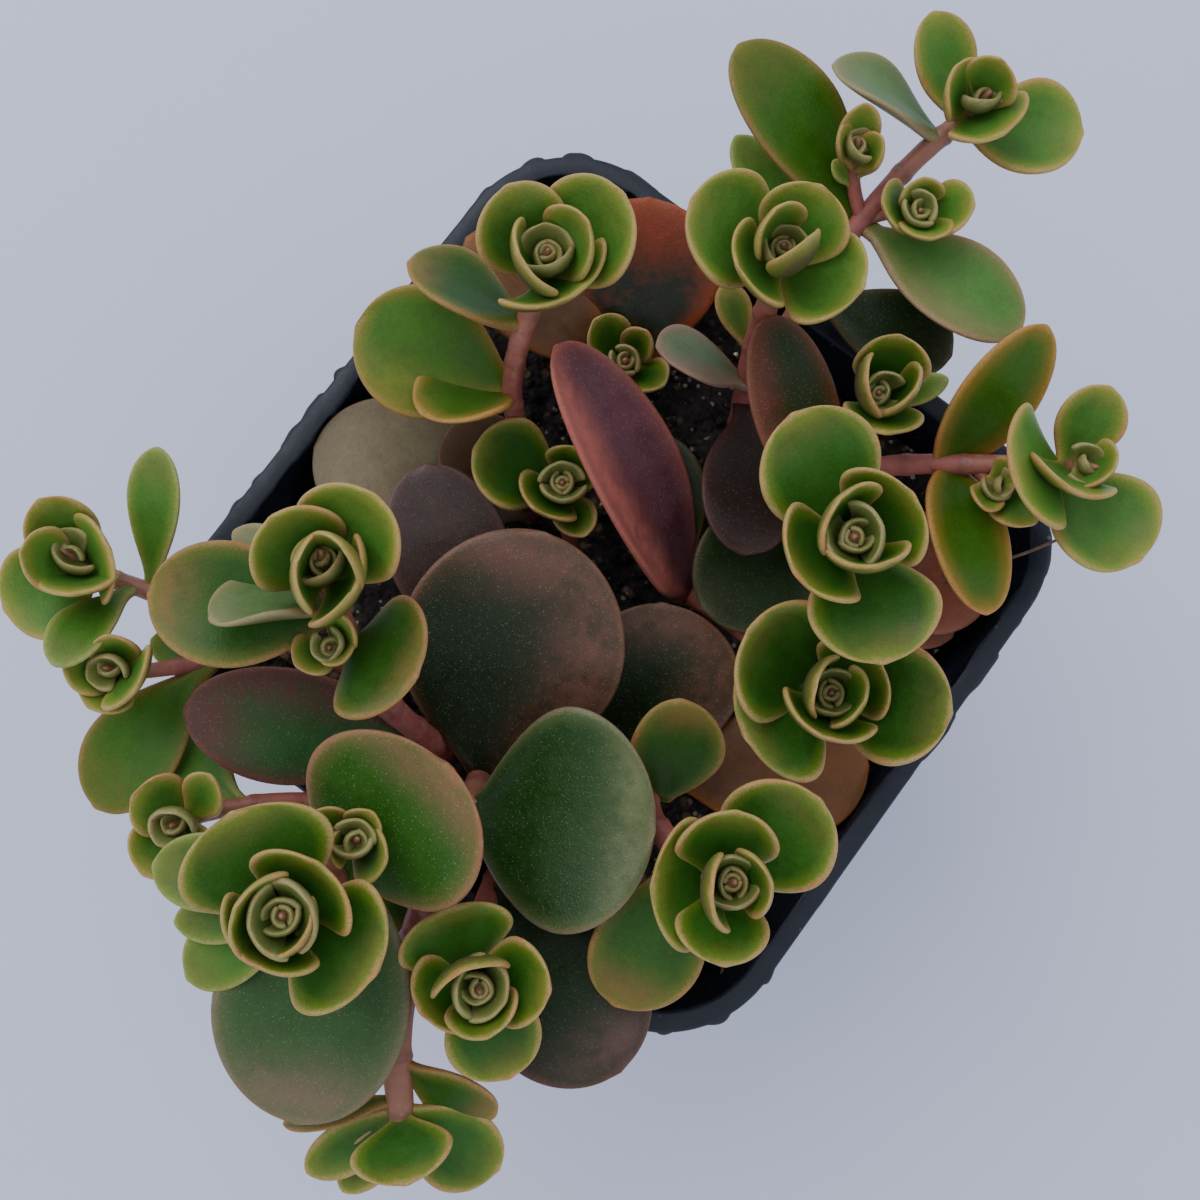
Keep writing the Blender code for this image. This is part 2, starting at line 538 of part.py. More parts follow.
def leaf_width(share, outline):
    """The blade's width at a share of its length: a quarter sine up to its widest, then a quarter ellipse."""
    widest, rise = outline
    if share < widest:
        return math.sin(math.pi / 2 * share / widest) ** rise
    return math.sqrt(1.0 - ((share - widest) / (1.0 - widest)) ** 2)


def leaf_frame(base, tip, roll):
    """Unit vectors along the blade, to its right margin and out of its upper face."""
    along = (tip - base).normalized()
    face = (Vector((0, 0, 1)) - along * along.z).normalized()
    face = Matrix.Rotation(math.radians(roll), 3, along) @ face
    return along, along.cross(face), face


def leaf_mesh(name, leaf, base):
    """A fleshy blade: rings across it from its narrow base to its round end."""
    base = Vector(base)
    tip = Vector(leaf.tip)
    long = (tip - base).length
    along, side, face = leaf_frame(base, tip, leaf.roll)
    thick = min(LEAF_THICKEST, LEAF_THICK + LEAF_THICK_PER_WIDE * leaf.wide)
    rings = []
    for share in LONG_BANDS if long > LONG_LEAF else SHORT_BANDS:
        half = leaf.wide / 2 * leaf_width(share, leaf.outline)
        if share == 0.0:
            half = BASE_HALF_WIDE + leaf.wide * BASE_PER_WIDE
        cup = leaf.cup * 2 * half * min(1.0, share / CUP_FULL)
        body = thick / 2 * (1.0 - LEAF_THINS * share)
        middle = base + along * (long * share) + face * (leaf.curl * long * share ** 2)
        ring = []
        for across, up in LEAF_SECTION:
            lift = cup * abs(across) + body * up
            ring.append(placed(middle + side * (half * across) + face * lift))
        rings.append(ring)
    end = placed(tip + face * (leaf.curl * long))
    return loft(name, rings, end)


def ring_leaves(head):
    """A rosette's outer leaves with their bases, each pair a little higher than the one before."""
    neck = Vector(head.neck)
    rise = Vector(head.bud) - neck
    return [(leaf, neck + rise * (PAIR_CLIMB * (place // 2))) for place, leaf in enumerate(head.leaves)]


def inner_leaves(head):
    """The two small leaves that close round the bud."""
    neck = Vector(head.neck)
    rise = Vector(head.bud) - neck
    axis = rise.normalized()
    first = (Vector((1, 0, 0)) - axis * axis.x).normalized()
    base = neck + rise * INNER_BASE
    leaves = []
    for opposite in (0, 1):
        turn = math.radians(head.inner_turn) + math.pi * opposite
        out = Matrix.Rotation(turn, 3, axis) @ first
        tip = base + axis * head.inner_wide + out * (head.inner_wide * INNER_OUT)
        leaves.append(Leaf(tip, head.inner_wide, base, 0.0, INNER_CUP))
    return leaves


# Shoots


def stem_points(shoot, number):
    """All the points of one stem, with its root in the soil and its run up into the rosette."""
    stem = shoot.stems[number]
    points = [Vector(point) for point in stem.points]
    radii = [stem.radius] * len(points)
    if number == 0:
        foot = [Vector((*shoot.root, SOIL_TOP - ROOT_DEEP)), Vector((*shoot.root, SOIL_TOP + ROOT_STANDS))]
        points = foot + points
        radii = [stem.radius, stem.radius] + radii
    if stem.head is not None:
        neck = Vector(stem.head.neck)
        bud = Vector(stem.head.bud)
        points += [neck, neck.lerp(bud, BUD_SHARE), bud]
        radii += [stem.radius * NECK_WIDE, stem.radius * BUD_WIDE, BUD_POINT]
    return points, radii


def stem_mesh(name, points, radii, group):
    """A stem: a curve with filled caps, made a closed mesh. Thin stems have fewer sides."""
    curve = bpy.data.curves.new(name, "CURVE")
    curve.dimensions = "3D"
    curve.bevel_depth = MM
    curve.bevel_resolution = 0 if radii[0] < THIN_STEM else 1
    curve.use_fill_caps = True
    line = curve.splines.new("POLY")
    line.points.add(len(points) - 1)
    for knot, point, radius in zip(line.points, points, radii):
        knot.co = (*placed(point), 1.0)
        knot.radius = radius
    thing = bpy.data.objects.new(name, curve)
    group.objects.link(thing)
    bpy.context.view_layer.update()
    seen = thing.evaluated_get(bpy.context.evaluated_depsgraph_get())
    mesh = bpy.data.meshes.new_from_object(seen)
    bpy.data.objects.remove(thing, do_unlink=True)
    solid = bmesh.new()
    solid.from_mesh(mesh)
    bmesh.ops.remove_doubles(solid, verts=solid.verts, dist=1e-6)
    bmesh.ops.recalc_face_normals(solid, faces=solid.faces)
    solid.to_mesh(mesh)
    solid.free()
    return mesh


def make_shoot(shoot, group):
    """One shoot: its stems, leaves and buds joined into a single solid by one union."""
    pieces = make_collection(shoot.name + "_pieces")
    meshes = []
    for number, stem in enumerate(shoot.stems):
        points, radii = stem_points(shoot, number)
        meshes.append(stem_mesh(f"{shoot.name}_stem_{number}", points, radii, pieces))
        if stem.head is None:
            continue
        for leaf, base in ring_leaves(stem.head):
            meshes.append(leaf_mesh(shoot.name + "_leaf", leaf, base))
        for leaf in inner_leaves(stem.head):
            meshes.append(leaf_mesh(shoot.name + "_inner", leaf, leaf.base))
    for leaf in shoot.leaves:
        meshes.append(leaf_mesh(shoot.name + "_leaf", leaf, leaf.base))
    plant = object_from_mesh(shoot.name, meshes[0], group, principled(shoot.name, shoot.green, 0.4))
    for mesh in meshes[1:]:
        object_from_mesh(mesh.name, mesh, pieces)
    join(plant, pieces)
    return plant


def join(plant, pieces):
    """Union every loose piece of a collection into one object, then drop the collection."""
    union = plant.modifiers.new("union", "BOOLEAN")
    union.operation = "UNION"
    union.operand_type = "COLLECTION"
    union.collection = pieces
    bpy.context.view_layer.update()
    seen = plant.evaluated_get(bpy.context.evaluated_depsgraph_get())
    joined = bpy.data.meshes.new_from_object(seen)
    plant.modifiers.remove(union)
    drop_scraps(joined)
    plant.data = joined
    for piece in list(pieces.objects):
        bpy.data.objects.remove(piece, do_unlink=True)
    bpy.data.collections.remove(pieces)


def bodies_of(solid):
    """The closed bodies of a bmesh, as lists of faces joined across edges that two faces share."""
    found = []
    seen = set()
    for start in solid.faces:
        if start in seen:
            continue
        seen.add(start)
        body = [start]
        for face in body:
            for edge in face.edges:
                if len(edge.link_faces) != 2:
                    continue
                for other in edge.link_faces:
                    if other not in seen:
                        seen.add(other)
                        body.append(other)
        found.append(body)
    return found


def drop_scraps(mesh):
    """Keep the plant's one body: loose scraps go, and hollows that fusing has sealed are filled."""
    solid = bmesh.new()
    solid.from_mesh(mesh)
    bmesh.ops.triangulate(solid, faces=solid.faces, quad_method="FIXED", ngon_method="EAR_CLIP")
    bodies = sorted(bodies_of(solid), key=len)
    for body in bodies[:-1]:
        bmesh.ops.delete(solid, geom=body, context="FACES")
    solid.to_mesh(mesh)
    solid.free()


def main():
    """Build the pot, the soil and every shoot."""
    clear_scene()
    group = make_collection("potted_makino_stonecrop")
    cutters = make_collection("cutters")
    stand = bpy.data.objects.new("potted_makino_stonecrop", None)
    group.objects.link(stand)
    pieces = [make_pot(group, cutters), make_soil(group, cutters)]
    pieces += [make_shoot(shoot, group) for shoot in SHOOTS]
    for piece in pieces:
        piece.parent = stand


main()
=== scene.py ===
"""Potted makino stonecrop: the finished plant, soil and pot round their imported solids.

The plant is laid out in plan, in millimetres, seen from above with its back upwards; heights are above the
table. PLANT_TURN turns the plan so that the pot's sides lie along X and Y, and MM brings it to metres.
"""

import logging
import math
from dataclasses import dataclass, replace
from enum import Enum

import bpy
import numpy as np
from mathutils import Matrix, Vector


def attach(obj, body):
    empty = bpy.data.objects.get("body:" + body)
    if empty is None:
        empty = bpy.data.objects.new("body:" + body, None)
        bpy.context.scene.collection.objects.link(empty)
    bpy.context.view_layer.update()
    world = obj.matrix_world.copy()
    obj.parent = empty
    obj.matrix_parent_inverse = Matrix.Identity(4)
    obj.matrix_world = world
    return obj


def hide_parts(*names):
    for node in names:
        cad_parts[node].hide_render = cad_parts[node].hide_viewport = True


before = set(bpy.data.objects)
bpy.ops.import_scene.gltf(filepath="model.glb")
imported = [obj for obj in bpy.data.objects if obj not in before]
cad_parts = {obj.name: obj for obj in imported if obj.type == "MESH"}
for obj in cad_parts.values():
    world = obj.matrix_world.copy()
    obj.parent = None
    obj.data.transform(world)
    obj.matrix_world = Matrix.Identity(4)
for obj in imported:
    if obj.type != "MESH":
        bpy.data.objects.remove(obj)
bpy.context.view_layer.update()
LOG = logging.getLogger("stonecrop")

MM = 0.001
PLANT_TURN = math.radians(36.6)
SOIL_TOP = 54.5
POT_HEIGHT = 62.0


def tone(red: int, green: int, blue: int) -> tuple[float, float, float]:
    """A display colour, 0 to 255 a channel, as linear light: ((c / 255 + 0.055) / 1.055) to the power 2.4."""
    return tuple(((channel / 255 + 0.055) / 1.055) ** 2.4 for channel in (red, green, blue))


def turned(x: np.ndarray, y: np.ndarray, angle: float) -> np.ndarray:
    """Points turned about the origin by an angle: x cos t - y sin t, x sin t + y cos t."""
    cos, sin = math.cos(angle), math.sin(angle)
    return np.stack((x * cos - y * sin, x * sin + y * cos), axis=-1)


def placed(points: np.ndarray) -> np.ndarray:
    """Plan points in mm, turned with the plant and brought to metres."""
    flat = turned(points[..., 0], points[..., 1], PLANT_TURN)
    return np.concatenate((flat, points[..., 2:]), axis=-1) * MM


def blend(first: np.ndarray, second: np.ndarray, share: np.ndarray) -> np.ndarray:
    """Two tones mixed: the first times 1 - share, plus the second times share."""
    return np.array(first) * (1 - share) + np.array(second) * share


def opaque(colours: np.ndarray) -> np.ndarray:
    """Rows of a colour, each with alpha 1 after it."""
    return np.concatenate((colours, np.ones((len(colours), 1))), axis=1)


def unit(vectors: np.ndarray) -> np.ndarray:
    """Vectors divided by their lengths."""
    return vectors / np.linalg.norm(vectors, axis=-1, keepdims=True)


def ramp(values: np.ndarray, low: float, high: float) -> np.ndarray:
    """A smooth step: t * t * (3 - 2 t), where t runs from 0 at low to 1 at high."""
    share = np.clip((values - low) / (high - low), 0.0, 1.0)
    return share * share * (3.0 - 2.0 * share)


def lumps(points: np.ndarray, size: float, seed: int) -> np.ndarray:
    """Smooth lattice noise: a hashed value at each corner of a grid cell, blended by smooth steps.

    Args:
        points: an array of (n, 3) points.
        size: the side of a grid cell, in the points' own unit.
        seed: picks one of many patterns.

    Returns:
        An array of n values from -1 to 1.
    """
    cell = np.floor(points / size)
    share = points / size - cell
    share = share * share * (3.0 - 2.0 * share)
    cell = cell.astype(np.int64)
    total = np.zeros(len(points))
    for corner in range(8):
        step = np.array((corner & 1, corner >> 1 & 1, corner >> 2 & 1))
        at = cell + step
        mixed = at[:, 0] * 374761393 + at[:, 1] * 668265263 + at[:, 2] * 2147483647 + seed * 1274126177
        mixed = (mixed ^ (mixed >> 13)) * 1103515245 & 0x7FFFFFFF
        value = (mixed ^ (mixed >> 16)) % 65536 / 32767.5 - 1.0
        weight = np.where(step == 1, share, 1.0 - share).prod(axis=1)
        total += value * weight
    return total


class Patchwork:
    """Grids of points gathered into one mesh, with their attributes."""

    def __init__(self) -> None:
        """Start with nothing gathered."""
        self.points: list[np.ndarray] = []
        self.quads: list[np.ndarray] = []
        self.triangles: list[np.ndarray] = []
        self.values: dict[str, list[np.ndarray]] = {}
        self.count = 0

    def add_tube(self, rings: np.ndarray, first: np.ndarray, last: np.ndarray, **values: np.ndarray) -> None:
        """Gather a closed skin through rings, with a pole at each end.

        Args:
            rings: (levels, around, 3) points, counter-clockwise seen from the last ring.
            first: the pole before the first ring.
            last: the pole after the last ring.
            values: an array for each attribute, a row for each point, ring by ring, then the two poles.
        """
        levels, around, _ = rings.shape
        start = self.count
        index = start + np.arange(levels * around).reshape(levels, around)
        after = np.roll(index, -1, axis=1)
        quads = np.stack((index[:-1], after[:-1], after[1:], index[1:]), axis=-1)
        low, high = start + levels * around, start + levels * around + 1
        foot = np.stack((after[0], index[0], np.full(around, low)), axis=-1)
        head = np.stack((index[-1], after[-1], np.full(around, high)), axis=-1)
        self.points.append(np.concatenate((rings.reshape(-1, 3), first[None], last[None])))
        self.quads.append(quads.reshape(-1, 4))
        self.triangles += [foot, head]
        for name, value in values.items():
            self.values.setdefault(name, []).append(np.asarray(value, dtype=np.float32))
        self.count += levels * around + 2

    def add_ring(self, rings: np.ndarray) -> None:
        """Gather a skin through rings that closes on its own first ring, as a hoop does.

        Args:
            rings: (levels, around, 3) points.
        """
        levels, around, _ = rings.shape
        index = self.count + np.arange(levels * around).reshape(levels, around)
        after = np.roll(index, -1, axis=1)
        following, both = np.roll(index, -1, axis=0), np.roll(after, -1, axis=0)
        self.points.append(rings.reshape(-1, 3))
        self.quads.append(np.stack((index, after, both, following), axis=-1).reshape(-1, 4))
        self.count += levels * around

    def build(self, name: str, material: bpy.types.Material) -> bpy.types.Object:
        """Put the gathered skins into one smooth mesh object.

        Args:
            name: the piece's name.
            material: its finish.

        Returns:
            The object, linked to the scene, with its place in its mesh.
        """
        points = np.concatenate(self.points)
        quads = np.concatenate(self.quads)
        threes = np.concatenate(self.triangles) if self.triangles else np.zeros((0, 3), dtype=np.int64)
        corners = np.concatenate((quads.ravel(), threes.ravel()))
        sizes = np.concatenate((np.full(len(quads), 4), np.full(len(threes), 3)))
        mesh = bpy.data.meshes.new(name)
        mesh.vertices.add(len(points))
        mesh.vertices.foreach_set("co", points.astype(np.float32).ravel())
        mesh.loops.add(len(corners))
        mesh.loops.foreach_set("vertex_index", corners.astype(np.int32))
        mesh.polygons.add(len(sizes))
        mesh.polygons.foreach_set("loop_start", (np.cumsum(sizes) - sizes).astype(np.int32))
        mesh.polygons.foreach_set("use_smooth", np.ones(len(sizes), dtype=bool))
        for key, parts in self.values.items():
            value = np.concatenate(parts)
            kind = "FLOAT" if value.ndim == 1 else "FLOAT_COLOR"
            layer = mesh.attributes.new(key, kind, "POINT")
            layer.data.foreach_set("value" if value.ndim == 1 else "color", value.ravel())
        mesh.update(calc_edges=True)
        mesh.validate()
        mesh.materials.append(material)
        piece = bpy.data.objects.new(name, mesh)
        bpy.context.scene.collection.objects.link(piece)
        return piece


def seat(piece: bpy.types.Object, slot: str, *nodes: str) -> None:
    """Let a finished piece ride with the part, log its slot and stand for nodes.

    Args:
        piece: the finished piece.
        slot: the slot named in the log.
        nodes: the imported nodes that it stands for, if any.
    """
    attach(piece, "root")
    if nodes:
        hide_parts(*nodes)
    LOG.info("%s: %d points, slot %s", piece.name, len(piece.data.vertices), slot)


# Finishes


class Wiring:
    """A node tree being wired up, with short ways to add and join its nodes."""

    def __init__(self, tree: bpy.types.NodeTree) -> None:
        """Work on one tree."""
        self.tree = tree

    def add(self, kind: str, **settings: object) -> bpy.types.Node:
        """Add a node.

        Args:
            kind: the node's type.
            settings: its own settings by name.

        Returns:
            The node.
        """
        node = self.tree.nodes.new(kind)
        for key, value in settings.items():
            setattr(node, key, value)
        return node

    def feed(self, socket: bpy.types.NodeSocket, value: object) -> None:
        """Join another node's output to a socket, or set the socket's own value.

        Args:
            socket: the input that is fed.
            value: the other node's output, or a plain value.
        """
        if isinstance(value, bpy.types.NodeSocket):
            self.tree.links.new(value, socket)
        else:
            socket.default_value = value

    def place(self) -> bpy.types.NodeSocket:
        """The surface point in the object's own coordinates."""
        return self.add("ShaderNodeTexCoord").outputs["Object"]

    def sum(self, operation: str, first: object, second: object, clamp: bool = False) -> bpy.types.NodeSocket:
        """Put two values through one operation of the Math node.

        Args:
            operation: the operation's name.
            first: a value or a socket.
            second: a value or a socket.
            clamp: whether the result is kept within 0 and 1.

        Returns:
            The result's socket.
        """
        node = self.add("ShaderNodeMath", operation=operation, use_clamp=clamp)
        self.feed(node.inputs[0], first)
        self.feed(node.inputs[1], second)
        return node.outputs[0]

    def times(self, first: object, second: object, clamp: bool = False) -> bpy.types.NodeSocket:
        """Two values multiplied."""
        return self.sum("MULTIPLY", first, second, clamp)

    def map(self, value: object, low: object, high: object, start: float, end: float) -> bpy.types.NodeSocket:
        """Bring a value from one range to another, smoothly and no further.

        Args:
            value: a socket.
            low: the value that gives start.
            high: the value that gives end.
            start: the result at low and below.
            end: the result at high and above.

        Returns:
            The result's socket.
        """
        node = self.add("ShaderNodeMapRange", interpolation_type="SMOOTHSTEP")
        pairs = (("Value", value), ("From Min", low), ("From Max", high), ("To Min", start), ("To Max", end))
        for name, item in pairs:
            self.feed(node.inputs[name], item)
        return node.outputs[0]

    def mix(self, share: object, first: object, second: object, blend: str = "MIX") -> bpy.types.NodeSocket:
        """Mix two colours.

        Args:
            share: the second colour's share.
            first: a colour or a socket.
            second: a colour or a socket.
            blend: how the second lies over the first.

        Returns:
            The result's socket.
        """
        node = self.add("ShaderNodeMix", data_type="RGBA", blend_type=blend)
        for name, item in (("Factor_Float", share), ("A_Color", first), ("B_Color", second)):
            socket = next(entry for entry in node.inputs if entry.identifier == name)
            self.feed(socket, (*item, 1.0) if isinstance(item, tuple) and len(item) == 3 else item)
        return next(entry for entry in node.outputs if entry.identifier == "Result_Color")

    def tint(self, first: object, second: object) -> bpy.types.NodeSocket:
        """Two colours multiplied."""
        return self.mix(1.0, first, second, "MULTIPLY")

    def noise(self, scale: object, detail: float = 2.0, rough: float = 0.5) -> bpy.types.NodeSocket:
        """Add soft noise on the object's own coordinates.

        Args:
            scale: cells a metre.
            detail: how many finer layers it has.
            rough: how strong those are.

        Returns:
            Its socket, about 0.5.
        """
        node = self.add("ShaderNodeTexNoise")
        self.feed(node.inputs["Vector"], self.place())
        self.feed(node.inputs["Scale"], scale)
        self.feed(node.inputs["Detail"], detail)
        self.feed(node.inputs["Roughness"], rough)
        return node.outputs["Fac"]

    def painted(self, name: str, colour: bool = False) -> bpy.types.NodeSocket:
        """A value or colour that the mesh carries at each point."""
        return self.add("ShaderNodeAttribute", attribute_name=name).outputs["Color" if colour else "Fac"]


def new_group(name: str, inputs: tuple[str, ...], output: str) -> tuple[Wiring, dict[str, object], object]:
    """Start a shader node group.

    Args:
        name: the group's name.
        inputs: its named number inputs.
        output: its one named number output.

    Returns:
        The group's tree, its input sockets by name, and the socket that takes the result.
    """
    tree = bpy.data.node_groups.new(name, "ShaderNodeTree")
    for entry in inputs:
        tree.interface.new_socket(entry, in_out="INPUT", socket_type="NodeSocketFloat")
    tree.interface.new_socket(output, in_out="OUTPUT", socket_type="NodeSocketFloat")
    work = Wiring(tree)
    source, sink = work.add("NodeGroupInput"), work.add("NodeGroupOutput")
    return work, {entry: source.outputs[entry] for entry in inputs}, sink.inputs[output]


def effect_of(group: str) -> bpy.types.NodeTree:
    """The shared effect of a name, built when it is first asked for."""
    found = bpy.data.node_groups.get(group)
    return found if found else EFFECTS[group](group)


def cloudy_effect(name: str) -> bpy.types.NodeTree:
    """Uneven tone: six parts of coarse noise and four of finer noise, spread by a contrast about 0.5.

    Args:
        name: the group's name.

    Returns:
        The group's tree.
    """
    work, given, result = new_group(name, ("Scale", "Contrast"), "Tone")
    coarse = work.noise(given["Scale"], 3.0)
    fine = work.noise(work.times(given["Scale"], 4.3), 2.0)
    both = work.sum("ADD", work.times(coarse, 0.6), work.times(fine, 0.4))
    spread = work.times(work.sum("SUBTRACT", both, 0.5), given["Contrast"])
    work.feed(result, work.sum("ADD", spread, 0.5, True))
    return work.tree


def speck_effect(name: str) -> bpy.types.NodeTree:
    """Small round specks: a dot at the middle of some cells of a fine cell pattern.

    Args:
        name: the group's name.

    Returns:
        The group's tree.
    """
    work, given, result = new_group(name, ("Scale", "Density", "Radius"), "Mask")
    cells = work.add("ShaderNodeTexVoronoi")
    work.feed(cells.inputs["Vector"], work.place())
    work.feed(cells.inputs["Scale"], given["Scale"])
    split = work.add("ShaderNodeSeparateColor")
    work.feed(split.inputs[0], cells.outputs["Color"])
    chosen = work.sum("LESS_THAN", split.outputs["Red"], given["Density"])
    size = work.times(given["Radius"], work.sum("ADD", split.outputs["Green"], 0.35))
    dot = work.map(cells.outputs["Distance"], work.times(size, 0.4), size, 1.0, 0.0)
    work.feed(result, work.times(chosen, dot))
    return work.tree


def band_effect(name: str) -> bpy.types.NodeTree:
    """A band along a margin: 1 at the margin, falling to 0 past its width, with an uneven inner edge.

    Args:
        name: the group's name.

    Returns:
        The group's tree.
    """
    work, given, result = new_group(name, ("Distance", "Width", "Uneven"), "Mask")
    stray = work.sum("SUBTRACT", work.noise(2600.0, 4.0, 0.75), 0.5)
    moved = work.sum("ADD", given["Distance"], work.times(stray, given["Uneven"]))
    work.feed(result, work.map(moved, 0.0, given["Width"], 1.0, 0.0))
    return work.tree


def skin_effect(name: str) -> bpy.types.NodeTree:
    """The skin's relief: fine cells under softer swellings.

    Args:
        name: the group's name.

    Returns:
        The group's tree.
    """
    work, given, result = new_group(name, ("Scale", "Swell"), "Height")
    cells = work.add("ShaderNodeTexVoronoi", feature="SMOOTH_F1")
    work.feed(cells.inputs["Vector"], work.place())
    work.feed(cells.inputs["Scale"], given["Scale"])
    soft = work.times(work.noise(700.0, 2.0), given["Swell"])
    work.feed(result, work.sum("ADD", work.times(cells.outputs["Distance"], 0.5), soft))
    return work.tree


EFFECTS = {
    "cloudy_tone": cloudy_effect,
    "specks": speck_effect,
    "margin_band": band_effect,
    "skin_relief": skin_effect,
}


class Finish:
    """A material under way: its Principled BSDF, and the shared effects placed in it."""

    def __init__(self, name: str, roughness: float) -> None:
        """Start from a plain Principled BSDF.

        Args:
            name: the material's name.
            roughness: its plain roughness.
        """
        self.material = bpy.data.materials.new(name)
        self.material.use_nodes = True
        self.work = Wiring(self.material.node_tree)
        self.shader = self.material.node_tree.nodes["Principled BSDF"]
        self.shader.inputs["Roughness"].default_value = roughness

    def effect(self, group: str, **values: object) -> bpy.types.NodeSocket:
        """Place a shared effect with its own values.

        Args:
            group: the effect's name.
            values: a value or a socket for each of its inputs.

        Returns:
            Its result's socket.
        """
        node = self.work.add("ShaderNodeGroup", node_tree=effect_of(group))
        for key, value in values.items():
            self.work.feed(node.inputs[key.capitalize()], value)
        return node.outputs[0]

    def relief(self, height: bpy.types.NodeSocket, strength: float, depth: float) -> None:
        """Raise the surface by a height.

        Args:
            height: the height's socket.
            strength: the bump's strength.
            depth: the bump's depth in metres.
        """
        bump = self.work.add("ShaderNodeBump")
        bump.inputs["Strength"].default_value = strength
        bump.inputs["Distance"].default_value = depth
        self.work.feed(bump.inputs["Height"], height)
        self.work.feed(self.shader.inputs["Normal"], bump.outputs["Normal"])

    def set(self, name: str, value: object) -> None:
        """Feed or set one socket of the shader."""
        self.work.feed(self.shader.inputs[name], value)


@dataclass(frozen=True)
class LeafSkin:
    """Waxy leaf skin: it takes each leaf's own tones and adds glow, rim, blush, grain, specks and relief. On
    the mauve-red leaf the blush is partly a painted highlight on its lit left half.
    """

    name: str
    roughness: float
    specks: float
    clouds: float
    glow: float
    shine: float

    CLOUD_SCALE = 420.0
    PATCH_SCALE = 190.0
    GRAIN_SCALE = 6500.0
    SPECK_SCALE = 6200.0
    CELL_SCALE = 5200.0
    GLOW_REACH = 3.4
    RIM_REACH = 1.25
    RED_CAST = (0.95, 0.62, 0.6)
    SPECK_TONE = tone(150, 150, 122)
    DEPTH = 0.00022

    def build(self) -> bpy.types.Material:
        """Wire the material: tone, blush (on the mauve-red leaf partly a painted highlight on its lit left
        half), the soft glow and the grainy rim along the margin, then specks.

        Returns:
            The material.
        """
        finish = Finish(self.name, self.roughness)
        work = finish.work
        clouds = finish.effect("cloudy_tone", scale=self.CLOUD_SCALE, contrast=self.clouds)
        patches = finish.effect("cloudy_tone", scale=self.PATCH_SCALE, contrast=2.2)
        shade = work.mix(clouds, (0.66, 0.68, 0.6), (1.25, 1.25, 1.2))
        skin = work.tint(work.painted("face_tone", True), shade)
        # The blush is the leaf's second tone. It is real colour, and on the mauve-red leaf it is also a
        # painted highlight on the lit left half.
        blushed_and_lit = work.times(work.painted("blush_and_lit_side"), work.map(patches, 0.15, 0.7, 0.55, 1.25), True)
        skin = work.mix(blushed_and_lit, skin, work.painted("blush_and_lit_side_tone", True))
        margin, wide = work.painted("margin"), work.painted("rim_wide")
        reach = work.times(wide, self.GLOW_REACH)
        soft = finish.effect("margin_band", distance=margin, width=reach, uneven=0.7)
        skin = work.mix(work.times(soft, 0.8), skin, work.painted("glow_tone", True))
        grain = work.noise(self.GRAIN_SCALE, 3.0, 0.7)
        reach = work.times(wide, self.RIM_REACH)
        band = finish.effect("margin_band", distance=margin, width=reach, uneven=0.6)
        strength = work.times(work.painted("rim"), work.map(patches, 0.1, 0.8, 0.6, 1.1))
        band = work.times(band, strength)
        redder = work.tint(work.painted("edge_tone", True), self.RED_CAST)
        rim = work.mix(work.map(patches, 0.45, 0.85, 0.0, 0.65), work.painted("edge_tone", True), redder)
        skin = work.mix(work.times(band, work.map(grain, 0.3, 0.65, 0.6, 1.1), True), skin, rim)
        skin = work.tint(skin, work.mix(grain, (0.66, 0.66, 0.66), (1.3, 1.3, 1.3)))
        dots = finish.effect("specks", scale=self.SPECK_SCALE, density=0.3, radius=0.4)
        dots = work.times(dots, work.times(work.painted("specks"), self.specks))
        skin = work.mix(dots, skin, self.SPECK_TONE)
        finish.set("Base Color", skin)
        rough = work.map(clouds, 0.2, 0.9, self.roughness - 0.07, self.roughness + 0.1)
        finish.set("Roughness", work.sum("ADD", rough, work.times(dots, 0.25), True))
        finish.relief(finish.effect("skin_relief", scale=self.CELL_SCALE, swell=0.9), 0.22, self.DEPTH)
        finish.set("Subsurface Weight", self.glow)
        finish.set("Subsurface Radius", (0.9, 1.0, 0.3))
        finish.set("Subsurface Scale", 0.0011)
        finish.set("Specular IOR Level", self.shine)
        return finish.material


@dataclass(frozen=True)
class StemSkin:
    """Smooth reddish stem skin, paler and darker in patches, with brown corky flecks."""

    name: str = "stem_skin"
    roughness: float = 0.45

    def build(self) -> bpy.types.Material:
        """Wire the material: the stem's own tone by patches, then the cork.

        Returns:
            The material.
        """
        finish = Finish(self.name, self.roughness)
        work = finish.work
        patches = finish.effect("cloudy_tone", scale=260.0, contrast=2.0)
        face = work.painted("face_tone", True)
        skin = work.tint(face, work.mix(patches, (0.7, 0.66, 0.6), (1.3, 1.22, 1.1)))
        cork = finish.effect("specks", scale=1500.0, density=0.22, radius=0.5)
        skin = work.mix(work.times(cork, 0.5), skin, tone(150, 120, 92))
        finish.set("Base Color", skin)
        finish.set("Roughness", work.map(patches, 0.2, 0.8, 0.38, 0.6))
        finish.relief(finish.effect("skin_relief", scale=2600.0, swell=1.2), 0.3, 0.0003)
        finish.set("Subsurface Weight", 0.08)
        finish.set("Subsurface Radius", (1.0, 0.5, 0.3))
        finish.set("Subsurface Scale", 0.0008)
        return finish.material


